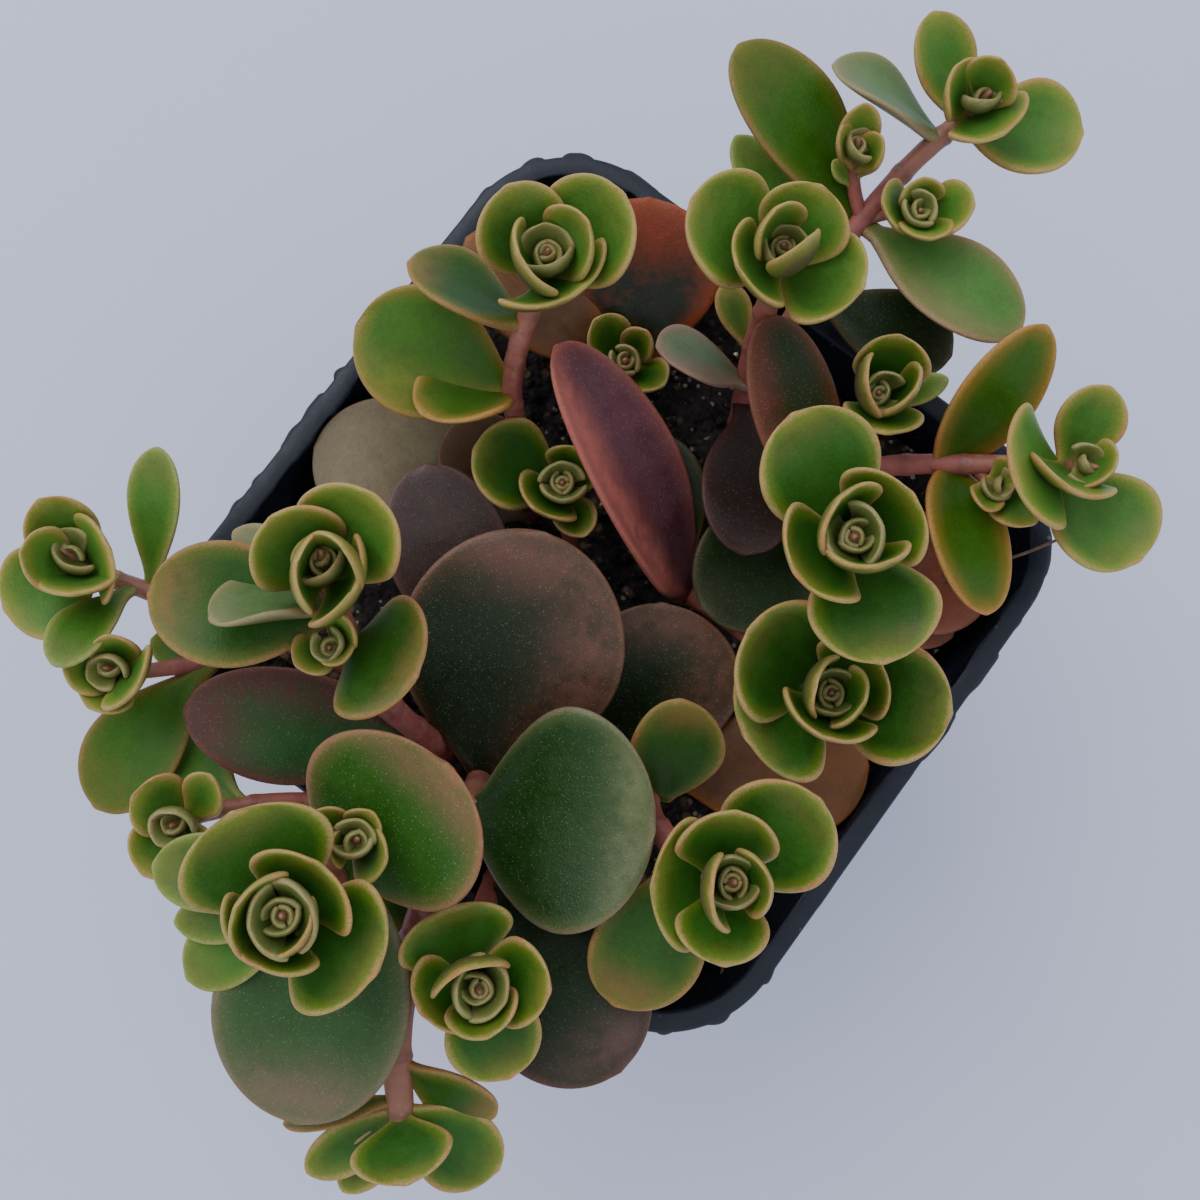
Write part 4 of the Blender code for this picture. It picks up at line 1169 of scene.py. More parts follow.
@dataclass
class NurseryPot:
    """The square pot: a thin moulded shell with a turned-out lip, a ragged edge and a holed floor."""

    height: float = POT_HEIGHT
    rim_half: float = 35.0
    rim_corner: float = 12.3
    rim_wide: float = 2.2
    lip_deep: float = 4.0
    top_half: float = 33.4
    top_corner: float = 10.9
    base_half: float = 25.0
    base_corner: float = 8.0
    wall: float = 1.0
    floor: float = 1.5
    drain_radius: float = 3.0
    drain_out: float = 14.0
    ragged: float = 0.62
    around_quarter: int = 260

    EDGE = 0.4
    WANDER = 0.14
    FLOOR_LAP = 0.7
    FLOOR_FOOT = 0.25
    RAYS = 96

    def body(self, height: np.ndarray) -> tuple[np.ndarray, np.ndarray]:
        """The outer half side and corner radius of the tapered body, straight from base to lip."""
        share = height / (self.height - self.lip_deep)
        return (self.base_half + (self.top_half - self.base_half) * share,
                self.base_corner + (self.top_corner - self.base_corner) * share)

    def shell(self) -> np.ndarray:
        """Work out wall and lip: from under the foot up the outside, over the lip and down to the floor.

        Returns:
            The rings, in mm.
        """
        foot = self.height - self.lip_deep
        bevel = np.sin(np.linspace(0.0, math.pi / 2, 4)) * self.EDGE
        rise = np.linspace(self.EDGE, foot - 0.5, 22)
        outer, outer_corner = self.body(rise)
        under = np.array((1.4, self.EDGE))
        lip = foot + np.array((0.0, 0.0, 0.1, 0.4, 1.4, 2.4, 3.2))
        lip_in = np.array((1.55, 0.5, 0.14, 0.0, 0.0, 0.0, 0.0))
        top = self.height - self.EDGE + bevel
        top_in = self.EDGE - bevel[::-1]
        mouth_in = self.rim_wide + np.array((-self.EDGE, -0.12, 0.0, 0.05))
        mouth_deep = np.array((0.0, 0.1, 0.4, 1.6))
        down = np.linspace(foot - 0.5, self.floor, 14)
        inner, inner_corner = self.body(down)
        edge_in = np.concatenate((lip_in, top_in, mouth_in))
        half = np.concatenate((self.base_half - under, outer, self.rim_half - edge_in, inner - self.wall))
        corner = np.concatenate((self.base_corner - under, outer_corner, self.rim_corner - edge_in,
                                 inner_corner - self.wall))
        tall = np.concatenate((np.zeros(2), rise, lip, top, self.height - mouth_deep, down))
        return self.roughen(rounded_square(half, corner, tall, self.around_quarter))

    def roughen(self, rings: np.ndarray) -> np.ndarray:
        """Push the rings near the lip's top out by flash teeth, and let the walls wander by WANDER mm.

        Args:
            rings: the smooth rings.

        Returns:
            The uneven rings.
        """
        flat, z = rings[..., :2], rings[..., 2]
        outward = flat / np.linalg.norm(flat, axis=-1, keepdims=True)
        spots = rings.reshape(-1, 3) * np.array((1.0, 1.0, 0.0))
        teeth = np.maximum(lumps(spots, 1.5, 5), 0.0) ** 0.7 * ramp(lumps(spots, 9.0, 6), -0.5, 0.6)
        teeth = teeth.reshape(z.shape)
        below, above = self.height - 2.6, self.height - 0.3
        near_top = ramp(z, below, self.height - self.EDGE) * (1.0 - ramp(z, above, self.height))
        at_lip = np.max(np.abs(flat), axis=-1) > self.rim_half - 6.0
        drift = lumps(rings.reshape(-1, 3), 14.0, 9).reshape(z.shape) * self.WANDER
        push = self.ragged * teeth * (at_lip * near_top) + drift * ramp(z, 2.0, 12.0)
        return np.concatenate((flat + outward * push[..., None], rings[..., 2:]), axis=-1)

    def base(self) -> list[np.ndarray]:
        """The floor in four quarters, each a slab round its drain hole.

        In each quarter a ring leaves the hole's circle and spreads, in even steps, to the quarter's own
        outline: along each ray, the last spot that is inside the two middle lines and the rounded corner.

        Returns:
            The rings of each quarter's slab.
        """
        angle = np.arange(self.RAYS) / self.RAYS * 2 * math.pi
        ray = np.stack((np.cos(angle), np.sin(angle)), axis=-1)
        reach = np.linspace(0.0, 60.0, 1201)[None, :, None]
        spots = self.drain_out + ray[:, None] * reach
        half, corner = self.base_half - self.FLOOR_LAP, self.base_corner - self.FLOOR_LAP
        past = np.maximum(spots - (half - corner), 0.0)
        inside = (spots.min(axis=-1) > -0.05) & (np.linalg.norm(past, axis=-1) < corner)
        outer = reach[0, :, 0][inside.sum(axis=1) - 1]
        share = np.linspace(0.0, 1.0, 7)[:, None]
        far = self.drain_radius + (outer[None] - self.drain_radius) * share
        flat = self.drain_out + ray[None] * far[..., None]
        low, high = (np.full((*far.shape, 1), height) for height in (self.FLOOR_FOOT, self.floor))
        slabs = []
        for quarter in range(4):
            spread = turned(flat[..., 0], flat[..., 1], quarter * math.pi / 2)
            under = np.concatenate((spread, low), axis=-1)
            over = np.concatenate((spread, high), axis=-1)[::-1]
            slabs.append(np.concatenate((under, over)))
        return slabs

    def build(self, plastic: bpy.types.Material) -> None:
        """Build the shell with its floor as one piece.

        Args:
            plastic: the pot's material.
        """
        patches = Patchwork()
        patches.add_ring(self.shell() * MM)
        for slab in self.base():
            patches.add_ring(slab * MM)
        seat(patches.build("nursery_pot", plastic), "pot_plastic", "pot")


@dataclass
class SoilBed:
    """The potting mix: a lumpy bed that fills the pot, strewn with crumbs and grains."""

    top: float = SOIL_TOP
    floor: float = 1.8
    gap: float = 1.3
    relief: float = 1.1
    crumbs: int = 760
    seed: int = 21

    DIP = 0.4
    SHOULDER = 1.6
    SMALLEST = 0.28
    SPREAD = 0.75
    SUNK = 0.3

    def bed(self, pot: NurseryPot) -> np.ndarray:
        """Carry rings up the pot's inside and in over the top, whose height follows three sizes of lumps.

        Args:
            pot: the pot that the bed fills.

        Returns:
            The rings, in mm.
        """
        sides = np.linspace(self.floor, self.top - self.SHOULDER, 6)
        half, corner = pot.body(sides)
        wall = rounded_square(half - self.gap, corner - self.gap, sides, 60)
        share = np.linspace(0.995, 0.01, 90)[:, None, None]
        spread = wall[-1][None] * np.concatenate((share, share, np.ones_like(share)), axis=-1)
        flat = spread.reshape(-1, 3) * np.array((1.0, 1.0, 0.0))
        height = 0.55 * lumps(flat, 6.0, 1) + 0.3 * lumps(flat, 2.2, 2) + 0.25 * lumps(flat, 0.9, 3)
        spread[..., 2] = self.top - self.DIP + self.relief * height.reshape(spread.shape[:2])
        return np.concatenate((wall, spread))

    def strew(self, pot: NurseryPot) -> tuple[np.ndarray, np.ndarray, np.ndarray]:
        """Strew crumbs at random over the bed; about one in seventeen is pale.

        Args:
            pot: the pot that the bed fills.

        Returns:
            Their places, sizes and shades.
        """
        draw = np.random.default_rng(self.seed)
        half = float(pot.body(np.array(self.top))[0]) - self.gap - 0.9
        flat = draw.uniform(-half, half, (self.crumbs, 2))
        past = np.maximum(np.abs(flat) - (half - pot.top_corner), 0.0)
        flat = flat[np.linalg.norm(past, axis=1) < pot.top_corner]
        size = self.SMALLEST + self.SPREAD * draw.power(0.45, len(flat))
        shade = draw.uniform(0.5, 1.7, len(flat)) * np.where(draw.uniform(size=len(flat)) > 0.94, 4.0, 1.0)
        return flat, size, shade

    def build(self, grit: bpy.types.Material, pot: NurseryPot) -> None:
        """Build the bed and its crumbs as one piece each.

        A crumb is a globe whose radius wanders by a third and which is squashed along each axis on its own.

        Args:
            grit: the potting mix material.
            pot: the pot that the bed fills.
        """
        bed = Patchwork()
        rings = self.bed(pot)
        middle = np.array((0.0, 0.0, self.top - self.DIP))
        white = np.ones((rings.shape[0] * rings.shape[1] + 2, 4))
        bed.add_tube(rings * MM, np.array((0.0, 0.0, self.floor)) * MM, middle * MM, face_tone=white)
        seat(bed.build("soil_bed", grit), "soil", "soil")
        crumbs = Patchwork()
        draw = np.random.default_rng(self.seed + 1)
        flat, size, shade = self.strew(pot)
        polar = np.linspace(0.0, math.pi, 7)[1:-1][::-1, None]
        turn = np.arange(8)[None] / 8 * 2 * math.pi
        high = np.cos(polar) + 0 * turn
        globe = np.stack((np.sin(polar) * np.cos(turn), np.sin(polar) * np.sin(turn), high), axis=-1)
        for spot, radius, tint in zip(flat, size, shade):
            squash = draw.uniform(0.55, 1.15, 3)
            wander = 1.0 + 0.32 * draw.uniform(-1, 1, globe.shape[:2])[..., None]
            rest = np.array((*spot, self.top - self.SUNK + radius * 0.35))
            body = globe * wander * squash * radius + rest
            pole = np.array((0.0, 0.0, squash[2] * radius))
            colours = np.tile((tint, tint * 0.96, tint * 0.9, 1.0), (globe.shape[0] * globe.shape[1] + 2, 1))
            crumbs.add_tube(body * MM, (rest - pole) * MM, (rest + pole) * MM, face_tone=colours)
        seat(crumbs.build("soil_crumbs", grit), "soil")


@dataclass
class DryRoots:
    """Dead root fibres on the soil and over the lip: the plan points of each and its radius, in mm."""

    runs: tuple = (
        (((28, 1.5, 56), (31.5, 0.6, 59), (35.6, 1.4, 63), (40, 2.6, 63.4), (45, 4.6, 62.6)), 0.16),
        (((27, -2, 55.6), (31, -0.6, 57.6), (35.2, 0.4, 62.6), (39, 1.6, 63.2)), 0.13),
        (((9.5, -35.5, 55.4), (10.8, -38.2, 56.6), (10.4, -40.6, 57.2), (11.6, -42.2, 57.8)), 0.17),
        (((12, -33, 55.3), (14.5, -35, 56), (15.6, -37.2, 56.4)), 0.14),
        (((25, -8, 55.3), (28.4, -9.6, 56.4), (31, -8.6, 56.8)), 0.15),
        (((16, 20, 55.2), (19, 22.6, 56.6), (19.6, 26, 56.2)), 0.14),
    )

    FIRST_SEED = 700

    def build(self, straw: bpy.types.Material) -> None:
        """Build all fibres as one piece, each a thin stem with no rosette.

        Args:
            straw: the fibres' material.
        """
        tubes = Patchwork()
        for number, (points, radius) in enumerate(self.runs):
            Stem(points, radius).gather(tubes, None, self.FIRST_SEED + number)
        seat(tubes.build("dry_roots", straw), "soil")


# Studio


@dataclass
class Studio:
    """A pale sheet, soft light and a camera that looks down on the plant."""

    focal_px: float = 1480.0
    frame_px: float = 1200.0
    tilt: tuple = (-6.2, 2.4)
    offset: tuple = (1.8, 1.9, -147.5)
    sheet: float = 1.6
    sky: tuple = (0.82, 0.87, 1.0)
    sky_strength: float = 1.03
    box_size: float = 0.6
    box_power: float = 2.6
    box_place: tuple = (-0.3, 0.36, 0.66)
    box_aim: tuple = (0.0, 0.0, 0.07)

    SHEET_POINTS = 9
    SHEET_LOW = 0.0002
    FILM_WIDE = 36.0
    NEAR = 0.005

    def floor(self) -> None:
        """Lay the pale sheet just under the pot: a flat grid."""
        along = np.linspace(-self.sheet / 2, self.sheet / 2, self.SHEET_POINTS)
        x, y = np.meshgrid(along, along)
        points = np.stack((x, y, np.full_like(x, -self.SHEET_LOW)), axis=-1).reshape(-1, 3)
        index = np.arange(x.size).reshape(x.shape)
        corners = (index[:-1, :-1], index[:-1, 1:], index[1:, 1:], index[1:, :-1])
        quads = np.stack(corners, axis=-1).reshape(-1, 4)
        mesh = bpy.data.meshes.new("pale_sheet")
        mesh.from_pydata(points.tolist(), [], quads.tolist())
        mesh.materials.append(PaleSheet().build())
        floor = bpy.data.objects.new("pale_sheet", mesh)
        bpy.context.scene.collection.objects.link(floor)

    def light(self) -> None:
        """Even sky light, and one square soft box above, towards the back left, in plan metres."""
        world = bpy.data.worlds.new("soft_sky")
        world.use_nodes = True
        sky = world.node_tree.nodes["Background"]
        sky.inputs["Color"].default_value = (*self.sky, 1.0)
        sky.inputs["Strength"].default_value = self.sky_strength
        bpy.context.scene.world = world
        turn = Matrix.Rotation(PLANT_TURN, 3, "Z")
        spot, target = turn @ Vector(self.box_place), turn @ Vector(self.box_aim)
        light = bpy.data.lights.new("key_box", "AREA")
        light.size = self.box_size
        light.energy = self.box_power
        lamp = bpy.data.objects.new("key_box", light)
        lamp.location = spot
        lamp.rotation_euler = (spot - target).to_track_quat("Z", "Y").to_euler()
        bpy.context.scene.collection.objects.link(lamp)

    def camera(self) -> None:
        """Stand the camera where the plant is seen from: nearly overhead, tipped a few degrees.

        The camera's own frame is the plan frame at the rim's centre, turned by tilt about X and Y and moved
        by offset; its place is minus the turned-back offset.
        """
        about_x, about_y = (math.radians(angle) for angle in self.tilt)
        turn = Matrix.Rotation(about_x, 3, "X") @ Matrix.Rotation(about_y, 3, "Y")
        plant = Matrix.Rotation(PLANT_TURN, 3, "Z")
        spot = plant @ (Vector((0.0, 0.0, POT_HEIGHT)) - turn.transposed() @ Vector(self.offset)) * MM
        lens = bpy.data.cameras.new("view_from_above")
        lens.sensor_width = self.FILM_WIDE
        lens.lens = self.focal_px / self.frame_px * lens.sensor_width
        lens.clip_start = self.NEAR
        view = bpy.data.objects.new("view_from_above", lens)
        view.matrix_world = (plant @ turn.transposed()).to_4x4()
        view.location = spot
        bpy.context.scene.collection.objects.link(view)
        bpy.context.scene.camera = view


# The plant's layout, read from the photograph


def ring(tip: tuple, wide: float, cup: float = 0.2) -> Leaf:
    """Grow one leaf from its rosette's own axis.

    Args:
        tip: its tip, in plan mm.
        wide: its width.
        cup: how deep it dishes; the deeper, the more it curls in.

    Returns:
        The leaf.
    """
    deep = max(cup - 0.1, 0.0)
    curl, bow = 0.04 + 0.75 * deep, 0.02 - 0.6 * deep
    return Leaf(tip, wide, cup=cup, curl=curl, outline=Outline.OVAL, bow=bow, plump=1.15)


def rings(*rows: tuple) -> tuple:
    """The outer leaves of a rosette, each a row: its tip's x, y and z, its width, and its cup if not 0.2."""
    return tuple(ring(row[:3], *row[3:]) for row in rows)


def old(look: Look, tip: tuple, wide: float, base: tuple, roll: float = 0.0, cup: float = 0.08,
        outline: Outline = Outline.SPOON) -> Leaf:
    """An old leaf from its own place on a stem."""
    return Leaf(tip, wide, base, roll, cup, 0.0, look, outline)


SHOOTS = (
    Shoot("shoot_back_left", "leaf_mid", (-9, 8), (
        Stem(((-9.6, 13.2, 62), (-10.5, 18, 70), (-9, 23, 75)), 1,
             Head((-7.6, 25.6, 77), (-7.2, 26.6, 83), rings(
                 (-11.2, 32.2, 84, 8.6), (-0.3, 31.6, 84, 10), (-5, 21.7, 82.5, 10.8, 0.24),
                 (-2.8, 28.3, 86, 6.6, 0.26), (-10.6, 24.5, 85.5, 7.3, 0.26)), 97, 4, BRIGHT)),
    ), (
        old(GREEN, (-19.8, 26.7, 78.5), 9, (-9.2, 22.3, 74), 38, 0.08, Outline.OVAL),
        old(OLIVE_LEFT, (-25.1, 22.8, 72), 12.4, (-10.5, 18, 68.5), -8, 0.08, Outline.OVAL),
        old(ORANGE_RIM, (-18.8, 14.1, 73.5), 9.6, (-10.4, 17.6, 67.5), 38, 0.16, Outline.OVAL),
        old(BROWN, (-16.9, 15.6, 61), 9, (-9, 8, 57.2)),
        old(KHAKI, (-30.4, 13.5, 61.2), 15.6, (-9, 8, 56.8), 0, 0.08, Outline.OVAL),
    )),
    Shoot("shoot_low_middle", "leaf_mid", (-4.4, 3.6), (
        Stem(((-5, 6.4, 60),), 0.8,
             Head((-5.5, 9.2, 62.5), (-5.7, 8.8, 68), rings(
                 (-14.6, 12.2, 67, 9), (-8.9, 5.6, 68.5, 6.9), (-3.4, 3.8, 65, 4.3),
                 (-3.6, 12.4, 68, 5.8)), 90, 3.6)),
    ), ()),
    Shoot("shoot_low_back", "leaf_old", (3, 18.5), (
        Stem((), 0.9,
             Head((1, 22.6, 59), (0.6, 21.9, 64.5), rings(
                 (-2.9, 26.2, 64, 5.2), (3.2, 25, 65, 3.8), (4.8, 18.9, 64.5, 4.5),
                 (-1.9, 19.2, 64.5, 3.8)), 45, 2.6)),
    ), (
        old(RUST, (3, 38.4, 65), 15.6, (1.6, 21, 57.2)),
        old(ORANGE, (-15.2, 34, 65), 10.9, (1.4, 21.4, 57.8)),
    )),
    Shoot("shoot_back", "leaf_mid", (13, 16.5), (
        Stem(((13, 20.5, 62), (13.2, 23, 67), (13.9, 26, 74)), 1.1,
             Head((14.2, 27, 76), (13.6, 27.6, 82.5), rings(
                 (4.8, 31.6, 82, 10.6), (21.2, 23.6, 81, 9.4), (17.1, 33, 83, 8.4),
                 (8.7, 25, 82, 8.4, 0.26), (11.4, 30.2, 86, 5.6, 0.28),
                 (15.4, 25.2, 86, 5.4, 0.28)), 50, 3.6, BRIGHT)),
    ), (
        old(PINK_LEFT, (3.4, 21.8, 69.5), 7, (13.1, 20, 62), 30),
        old(WINE, (12, 2, 67.5), 9.9, (13, 18.6, 60), -12),
        old(GREEN, (10.3, 29, 67), 3.6, (13.1, 22.4, 65.5)),
    )),
    Shoot("shoot_back_right_long", "leaf_young", (14.5, 22.5), (
        Stem(((17.3, 26.3, 64), (23.4, 34.6, 70), (29.3, 40.9, 72)), 1,
             Head((32.4, 43.4, 73), (34, 44.2, 78), rings(
                 (28.6, 52.3, 76.5, 6.2), (43.9, 41.9, 73, 9.4), (35.2, 39.5, 78.5, 8.4, 0.16),
                 (29.4, 45.6, 80, 5.8), (34.6, 46.5, 80.5, 5.6, 0.26)), 70, 3, BRIGHT)),
        Stem(((23.4, 34.6, 70), (26.4, 35.2, 70.5)), 0.7,
             Head((28.1, 34.4, 71.5), (27.8, 33.6, 75.5), rings(
                 (33, 33.6, 76, 5.6), (23.6, 34.2, 75.5, 5.2), (27.6, 36.6, 76.5, 4.4),
                 (28.4, 30, 76, 5.2)), 45, 2.8, BRIGHT)),
        Stem(((23.4, 34.6, 70), (22.4, 37, 71.5)), 0.7,
             Head((22.1, 38.6, 72.5), (21.7, 39.8, 77), rings(
                 (21.6, 42.7, 79, 4), (24.1, 39.6, 78, 3.4), (19.6, 40.8, 77.5, 3.4)), 60, 2.4, BRIGHT)),
    ), (
        old(BROWN_TIP, (10.7, 49.2, 76), 10, (22.6, 34.4, 69), 8, 0.08, Outline.OVAL),
        old(PINK_RIGHT, (38.4, 23.4, 71), 9.8, (24, 34, 69.6), -10, 0.08, Outline.OVAL),
        old(DEEP, (33.3, 22.6, 65), 8.9, (19, 28.7, 65.2)),
        old(SPRIG, (11.4, 43.5, 68.5), 5.2, (20.3, 30.8, 66.8)),
        old(PALE, (19.4, 46.8, 77), 8.4, (30.6, 41.8, 72.2), 38, 0.12, Outline.OVAL),
        old(SPRIG, (20, 39, 73.4), 2, (22.3, 37.4, 71.5)),
        old(SPRIG, (24.3, 39, 74.8), 1.8, (22.2, 38, 72)),
    )),
    Shoot("shoot_right_back", "leaf_young", (22.8, 15.4), (
        Stem(((23.8, 16.4, 64),), 0.9,
             Head((24.4, 16.6, 70), (23.3, 15.9, 76), rings(
                 (25.3, 21.8, 76, 7.2), (24, 11.6, 76, 7.6, 0.14), (20.4, 16, 78.5, 5.9, 0.26),
                 (26.9, 14.8, 78.5, 5.9, 0.26)), 90, 3.4)),
    ), (
        old(SPRIG, (31, 18.4, 71.5), 2.8, (24.2, 16.6, 68)),
    )),
    Shoot("shoot_tall_right", "leaf_young", (20.3, 5.5), (
        Stem(((19.8, 3.5, 68),), 1.3,
             Head((19.3, 1.3, 81), (17.9, 0.4, 89.5), rings(
                 (13.3, 11.5, 86, 11.2, 0.12), (21, -9.9, 84.8, 11.4, 0.12), (23.6, 4.6, 88, 9.6, 0.24),
                 (12.3, -3, 88, 9.6, 0.24), (15.6, 4.1, 90.5, 7.2, 0.28),
                 (19.4, -3.4, 90.5, 7, 0.28)), 20, 4.6)),
    ), (
        old(RED_LEFT, (13.9, 24.1, 72.4), 9.4, (19.7, 3.6, 68), 18, 0.08, Outline.OVAL),
        old(DEEP, (8.3, -2.9, 63.6), 12.8, (20.2, 5.2, 60), 0, 0.08, Outline.ROUND),
        old(RUSSET, (38.2, -1, 60.6), 12.6, (20.3, 5.4, 56.9)),
        old(RUSSET, (34.4, -5.2, 58.6), 8, (20.3, 5.2, 56.4)),
    )),
    Shoot("shoot_right", "leaf_old", (7, -0.6), (
        Stem(((8.8, -1.8, 58.8), (13.4, -5.8, 62.6), (17.6, -10.6, 69)), 1,
             Head((18.5, -11.9, 71.5), (18.1, -11.8, 78), rings(
                 (29.1, -13.9, 78, 11), (10, -5.9, 78, 11.8), (10.7, -15.9, 74, 12.4, 0.16),
                 (22.9, -8.6, 77.5, 8.6, 0.24), (16.3, -16.7, 80, 8.8, 0.26), (14.9, -10.6, 81, 5.8, 0.28),
                 (21.3, -13, 81, 5.8, 0.28)), 100, 3.9)),
    ), (
        # Its left half's second tone is partly a painted highlight where that half faces the light.
        old(MAUVE_RED_LIT_LEFT, (-6.4, 20.2, 75), 12.6, (7, -0.8, 58), 36, 0.14, Outline.BROAD),
        old(DEEP, (3.4, 15, 61.5), 8.6, (7, -0.4, 57)),
    )),
    Shoot("shoot_front_right", "leaf_mid", (3.2, -18.6), (
        Stem(((2.8, -20.4, 62), (3.1, -23.6, 67), (6.6, -27.4, 71)), 1.2,
             Head((8.4, -28.8, 74), (8.8, -28, 82), rings(
                 (1.6, -28.4, 79.5, 11.6, 0.12), (16.8, -20.7, 79, 10.8), (8.8, -21.3, 82, 8.8),
                 (7.9, -35.5, 80, 8.2, 0.16), (12.5, -27.7, 84, 5.9, 0.24),
                 (5.2, -28.8, 85, 6.6, 0.24)), 95, 4.2)),
    ), (
        old(GREEN, (-0.9, -40.1, 69), 10.4, (6, -26.8, 70), 0, 0.08, Outline.OVAL),
        old(GREEN, (5.6, -12.2, 70.5), 9.2, (4, -21.4, 63.6), 6, 0.08, Outline.ROUND),
        old(DUSK, (4.4, -2.3, 62.6), 16.2, (3.2, -18.8, 57.4), 0, 0.03, Outline.ROUND),
        old(ORANGE, (25.2, -18.4, 60), 14, (3.4, -18.8, 56.6), 0, 0.03),
    )),
    Shoot("shoot_front", "leaf_mid", (-10, -25), (
        Stem(((-11.6, -28.2, 60), (-13, -32, 66)), 1.1,
             Head((-13.8, -36.4, 72.5), (-12.7, -37.3, 80), rings(
                 (-16, -30.6, 75.5, 10.6, 0.08), (-18.2, -39.7, 77, 7.6), (-6.2, -37.3, 79, 7.6),
                 (-10.3, -45.5, 74, 8.6, 0.12), (-11.8, -41.6, 80, 6.4, 0.24),
                 (-14.4, -34.2, 82, 7, 0.24)), -20, 4.4)),
    ), (
        old(PURPLE_EDGE, (-0.1, -46.5, 67), 16.2, (-12.4, -30.3, 63.8), 0, 0.08, Outline.ROUND),
    )),
    Shoot("shoot_front_left", "leaf_young", (-18, -20.6), (
        Stem(((-20.4, -23.6, 63), (-24, -26.5, 71), (-27.2, -29.2, 78)), 1.2,
             Head((-28.6, -30.7, 80.5), (-28.1, -30, 88.5), rings(
                 (-33, -21.8, 84.5, 13.2, 0.14), (-20.7, -35.2, 84.5, 11.6, 0.16),
                 (-25, -25.4, 87, 9.8, 0.22), (-31.3, -34.2, 88, 9.2, 0.26),
                 (-32.4, -28.8, 89.5, 7.4, 0.28), (-25.6, -32.6, 89, 5.6, 0.28)), 200, 5)),
        Stem(((-24.4, -27, 72.4),), 0.8,
             Head((-24, -25.2, 77), (-23, -24.3, 82), rings(
                 (-27.3, -22, 81, 4.3), (-20, -26.2, 82, 5), (-25.8, -24.9, 81.5, 3.6),
                 (-21.6, -21.8, 81.5, 3.6)), 80, 2.9, BRIGHT)),
        Stem(((-20.4, -23.6, 63), (-26.4, -21.8, 67), (-33, -21.6, 69.5), (-37.4, -22.4, 70.5)), 0.8,
             Head((-39.2, -22.9, 71.5), (-40.1, -23.5, 75.5), rings(
                 (-43.8, -20.8, 75, 5.9), (-42.7, -28, 74, 6.2), (-36, -18.8, 76.5, 4.2),
                 (-38.6, -26.4, 74.5, 4)), 60, 3.2, BRIGHT)),
    ), (
        old(SPRIG, (-41.1, -26.8, 77), 6.8, (-27.2, -29.2, 76.5)),
        old(SPRIG, (-39.3, -31.8, 76), 4.4, (-27.4, -29.6, 77.5)),
        old(SPRIG, (-38.4, -36.6, 75), 6.6, (-27, -29.2, 76.6)),
        old(GREY_GREEN, (-28.7, -49, 75), 17.2, (-24.6, -27, 72.6), 0, 0.04, Outline.ROUND),
        old(SPECKLED, (-15.6, -18.1, 81), 18, (-25.4, -27.7, 74.2), 0, 0.08, Outline.ROUND),
        old(SPRIG, (-42, -15.4, 66), 6, (-35, -21.8, 69.9)),
    )),
    Shoot("shoot_tall_left", "leaf_mid", (-17.4, -17), (
        Stem(((-18.6, -15.6, 64), (-21.9, -12.4, 71.5), (-25, -6.8, 77)), 1.2,
             Head((-25.8, -3, 80.5), (-25.6, -0.9, 88.5), rings(
                 (-20.9, 4.4, 88, 9.8), (-30.2, 2.4, 88.5, 8.6, 0.22), (-21.9, -4.7, 88.5, 8.4, 0.26),
                 (-22.6, 0.4, 91, 5.7, 0.28), (-28.4, -2, 90.5, 6.7, 0.28)), 110, 3.6, BRIGHT)),
        Stem(((-25, -6.8, 77),), 0.6,
             Head((-25.8, -7.4, 77.6), (-25.9, -8.2, 80.5), rings(
                 (-24, -5.4, 82, 4.4), (-28.9, -9.8, 80, 4.2), (-24.4, -9.8, 81.5, 3.2)), 20, 2.4, BRIGHT)),
    ), (
        old(GREEN, (-41.5, -3.6, 80), 11, (-25.2, -5.2, 78), 0, 0.1, Outline.OVAL),
        old(PALE, (-35.3, -6.1, 84), 9, (-25.4, -4.2, 79), 58, 0.16, Outline.OVAL),
        old(GREEN, (-18.2, -10.8, 82.6), 11.8, (-24.2, -7.4, 76), 0, 0.1, Outline.ROUND),
        old(PURPLE_TIP, (-40, -13.3, 72), 10.8, (-18.9, -15.3, 65), 0, 0.04, Outline.OVAL),
        old(PALE, (-34.4, 2, 79.6), 4, (-25.6, -3.6, 79.6)),
    )),
    Shoot("shoot_left_long", "leaf_young", (-22.6, -10), (
        Stem(((-27.4, -8.2, 63), (-32.6, -6.2, 66.4), (-43.7, -2.3, 70.5)), 0.9,
             Head((-48.4, -0.6, 71.5), (-50.3, 0.8, 75.8), rings(
                 (-52.2, 5.5, 77, 6.3), (-56, -4.4, 73, 9, 0.14), (-48.6, -4, 78.5, 7.6, 0.16),
                 (-45.4, 0.8, 77.5, 8.6, 0.12), (-53.6, 0.1, 78.8, 5.7, 0.26)), 104, 3.3, BRIGHT)),
        Stem(((-32.6, -6.2, 66.4), (-38.9, -8.4, 67.5)), 0.8,
             Head((-45.2, -9.7, 71.5), (-46.5, -9.6, 75), rings(
                 (-50.1, -9.7, 75.6, 5), (-48, -13.3, 74.4, 5.3), (-42.2, -12, 78.5, 6.8, 0.16),
                 (-45.8, -6.4, 76.5, 4.4)), 38, 2.8, BRIGHT)),
    ), (
        old(SPRIG, (-42.4, 10.3, 75), 5.3, (-43.6, -2.3, 70.4), -14),
        old(SPRIG, (-50.1, -9.5, 77.4), 5.4, (-45.2, -1.8, 70.8), 14),
        old(SPRIG, (-44.2, -6.6, 68), 3.6, (-38.6, -8.3, 67.4)),
        old(BROWN_TIP, (-48.8, -22.1, 68.2), 8.8, (-38.6, -8.4, 67.5)),
    )),
    Shoot("shoot_right_long", "leaf_young", (19.6, 10.2), (
        Stem(((25.4, 11, 65.5), (36.5, 10.2, 71)), 1,
             Head((41, 9.8, 72), (43.2, 8.9, 77), rings(
                 (33.9, 8, 79.5, 12, 0.1), (47.8, 0.5, 73, 10.4), (44.4, 16.6, 77, 6.2),
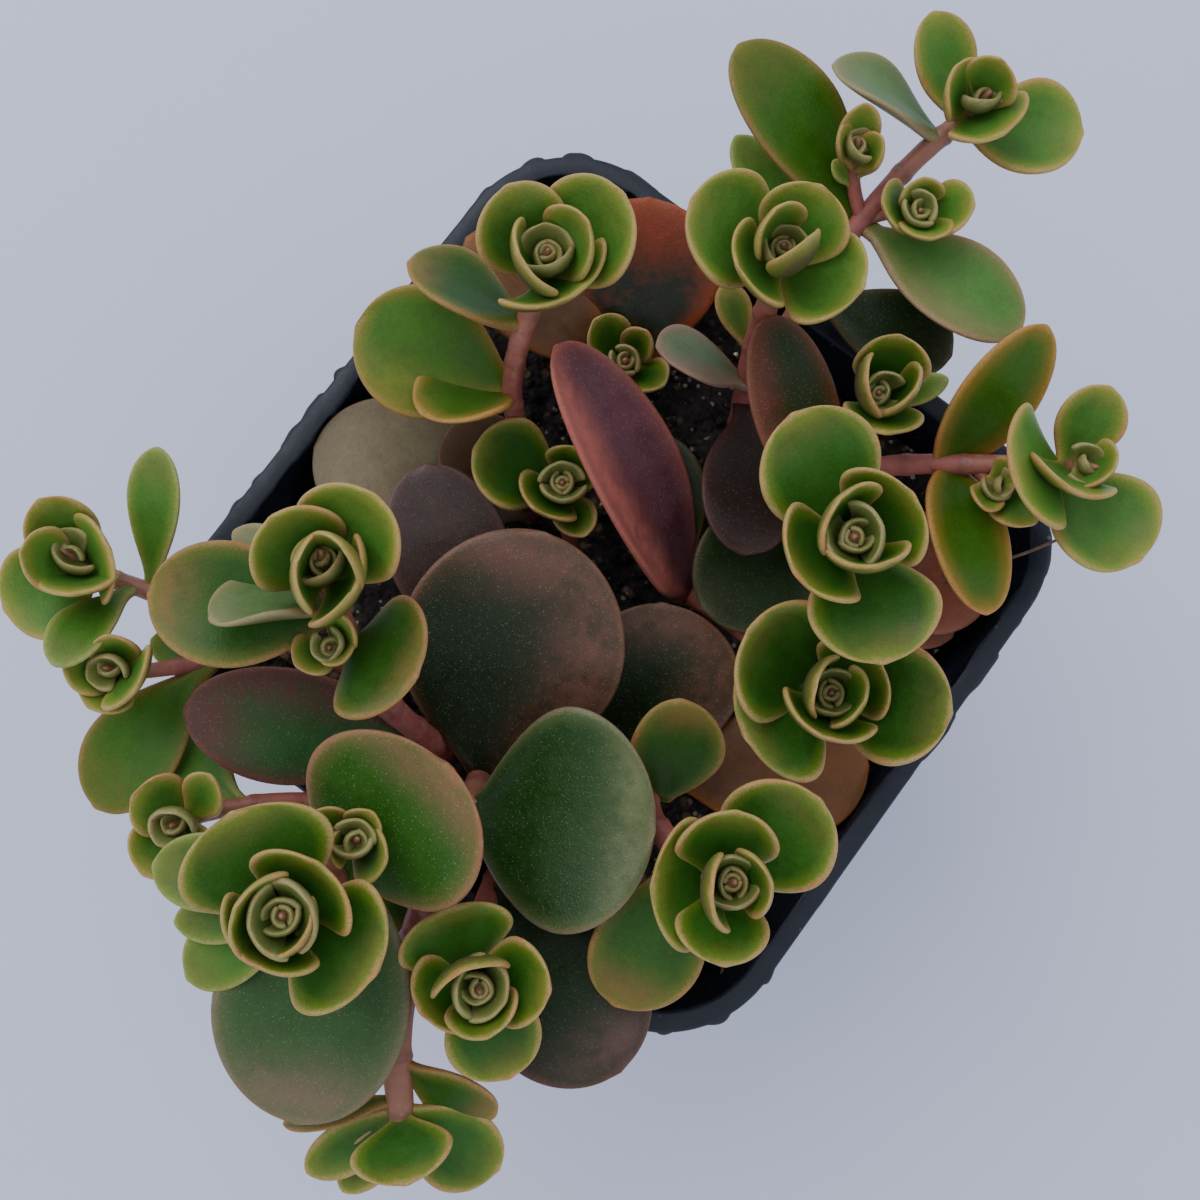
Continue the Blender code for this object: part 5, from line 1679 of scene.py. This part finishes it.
                 (39.3, 5.5, 80, 8.4, 0.16), (44.4, 7.8, 79, 5.4, 0.26)), 80, 3, BRIGHT)),
        Stem(((33.8, 10.4, 69.6),), 0.6,
             Head((34.9, 8.8, 70.6), (35.4, 7.4, 73.2), rings(
                 (38.2, 3.8, 73.6, 4.9), (33.3, 5, 74, 3.4), (36.8, 9.2, 74.5, 3.4)), 30, 2.3, BRIGHT)),
    ), (
        old(ORANGE_RIM, (38.8, 22.1, 77), 8, (31, 10.6, 68.4), 24, 0.08, Outline.BROAD),
        old(ORANGE_RIM, (33.8, -4.2, 72.6), 8.4, (31.6, 10.6, 68.6), -16, 0.08, Outline.BROAD),
    )),
    Shoot("shoot_front_long", "leaf_mid", (-14.6, -24.4), (
        Stem(((-17.4, -28, 66), (-18.6, -32, 70), (-20.2, -40, 71), (-20.4, -46, 70.5)), 1.3,
             Head((-20.1, -49, 70), (-20, -53.4, 70), rings(
                 (-11.5, -54.8, 68, 7.6, 0.12), (-28.4, -54.6, 67, 4.6), (-19, -54.6, 74.5, 9, 0.16),
                 (-25.3, -56.5, 66, 4.2)), 60, 3.8)),
    ), (
        old(GREEN, (-11.6, -49.6, 70), 6.6, (-20.3, -44.7, 70.6), 36),
        old(GREEN, (-30.5, -50.2, 70), 4, (-20.3, -48.2, 69.8), 55),
        old(GREEN, (-21.6, -33.6, 67), 6.4, (-18, -29.6, 67.4)),
    )),
    Shoot("old_leaf_stem", "leaf_old", (-12.4, -18), (
        Stem(((-13.4, -19.2, 60), (-14, -22.8, 66.4)), 1.4),
        Stem(((-12.4, -18, 58.4), (-14.4, -12, 58.2), (-15.4, -7.4, 58.4)), 0.9),
    ), (
        old(DUSK, (-7.4, 3.4, 71), 21.4, (-13.4, -19.2, 61), 0, 0.05, Outline.ROUND),
        old(ROUND_OLD, (2.7, -24.1, 73), 20.6, (-14, -22.8, 66.2), 0, 0.05, Outline.ROUND),
        old(MAUVE, (-19, 11, 65), 12, (-15.2, -7.8, 58.4), 0, 0.08, Outline.OVAL),
    )),
)


def main() -> None:
    """Build the pot, the soil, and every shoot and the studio."""
    logging.basicConfig(level=logging.INFO, format="%(message)s")
    skins = {
        "leaf_young": LeafSkin("leaf_young_skin", 0.42, 0.5, 1.3, 0.16, 0.22).build(),
        "leaf_mid": LeafSkin("leaf_mid_skin", 0.42, 0.4, 1.5, 0.14, 0.24).build(),
        "leaf_old": LeafSkin("leaf_old_skin", 0.38, 0.4, 1.8, 0.06, 0.3).build(),
    }
    bark = StemSkin().build()
    pot = NurseryPot()
    pot.build(PotPlastic().build())
    SoilBed().build(GritSkin().build(), pot)
    for number, shoot in enumerate(SHOOTS):
        shoot.build(skins, bark, 1000 * (number + 1))
    DryRoots().build(DryFibre().build())
    studio = Studio()
    studio.floor()
    studio.light()
    studio.camera()


if __name__ == "__main__":
    main()
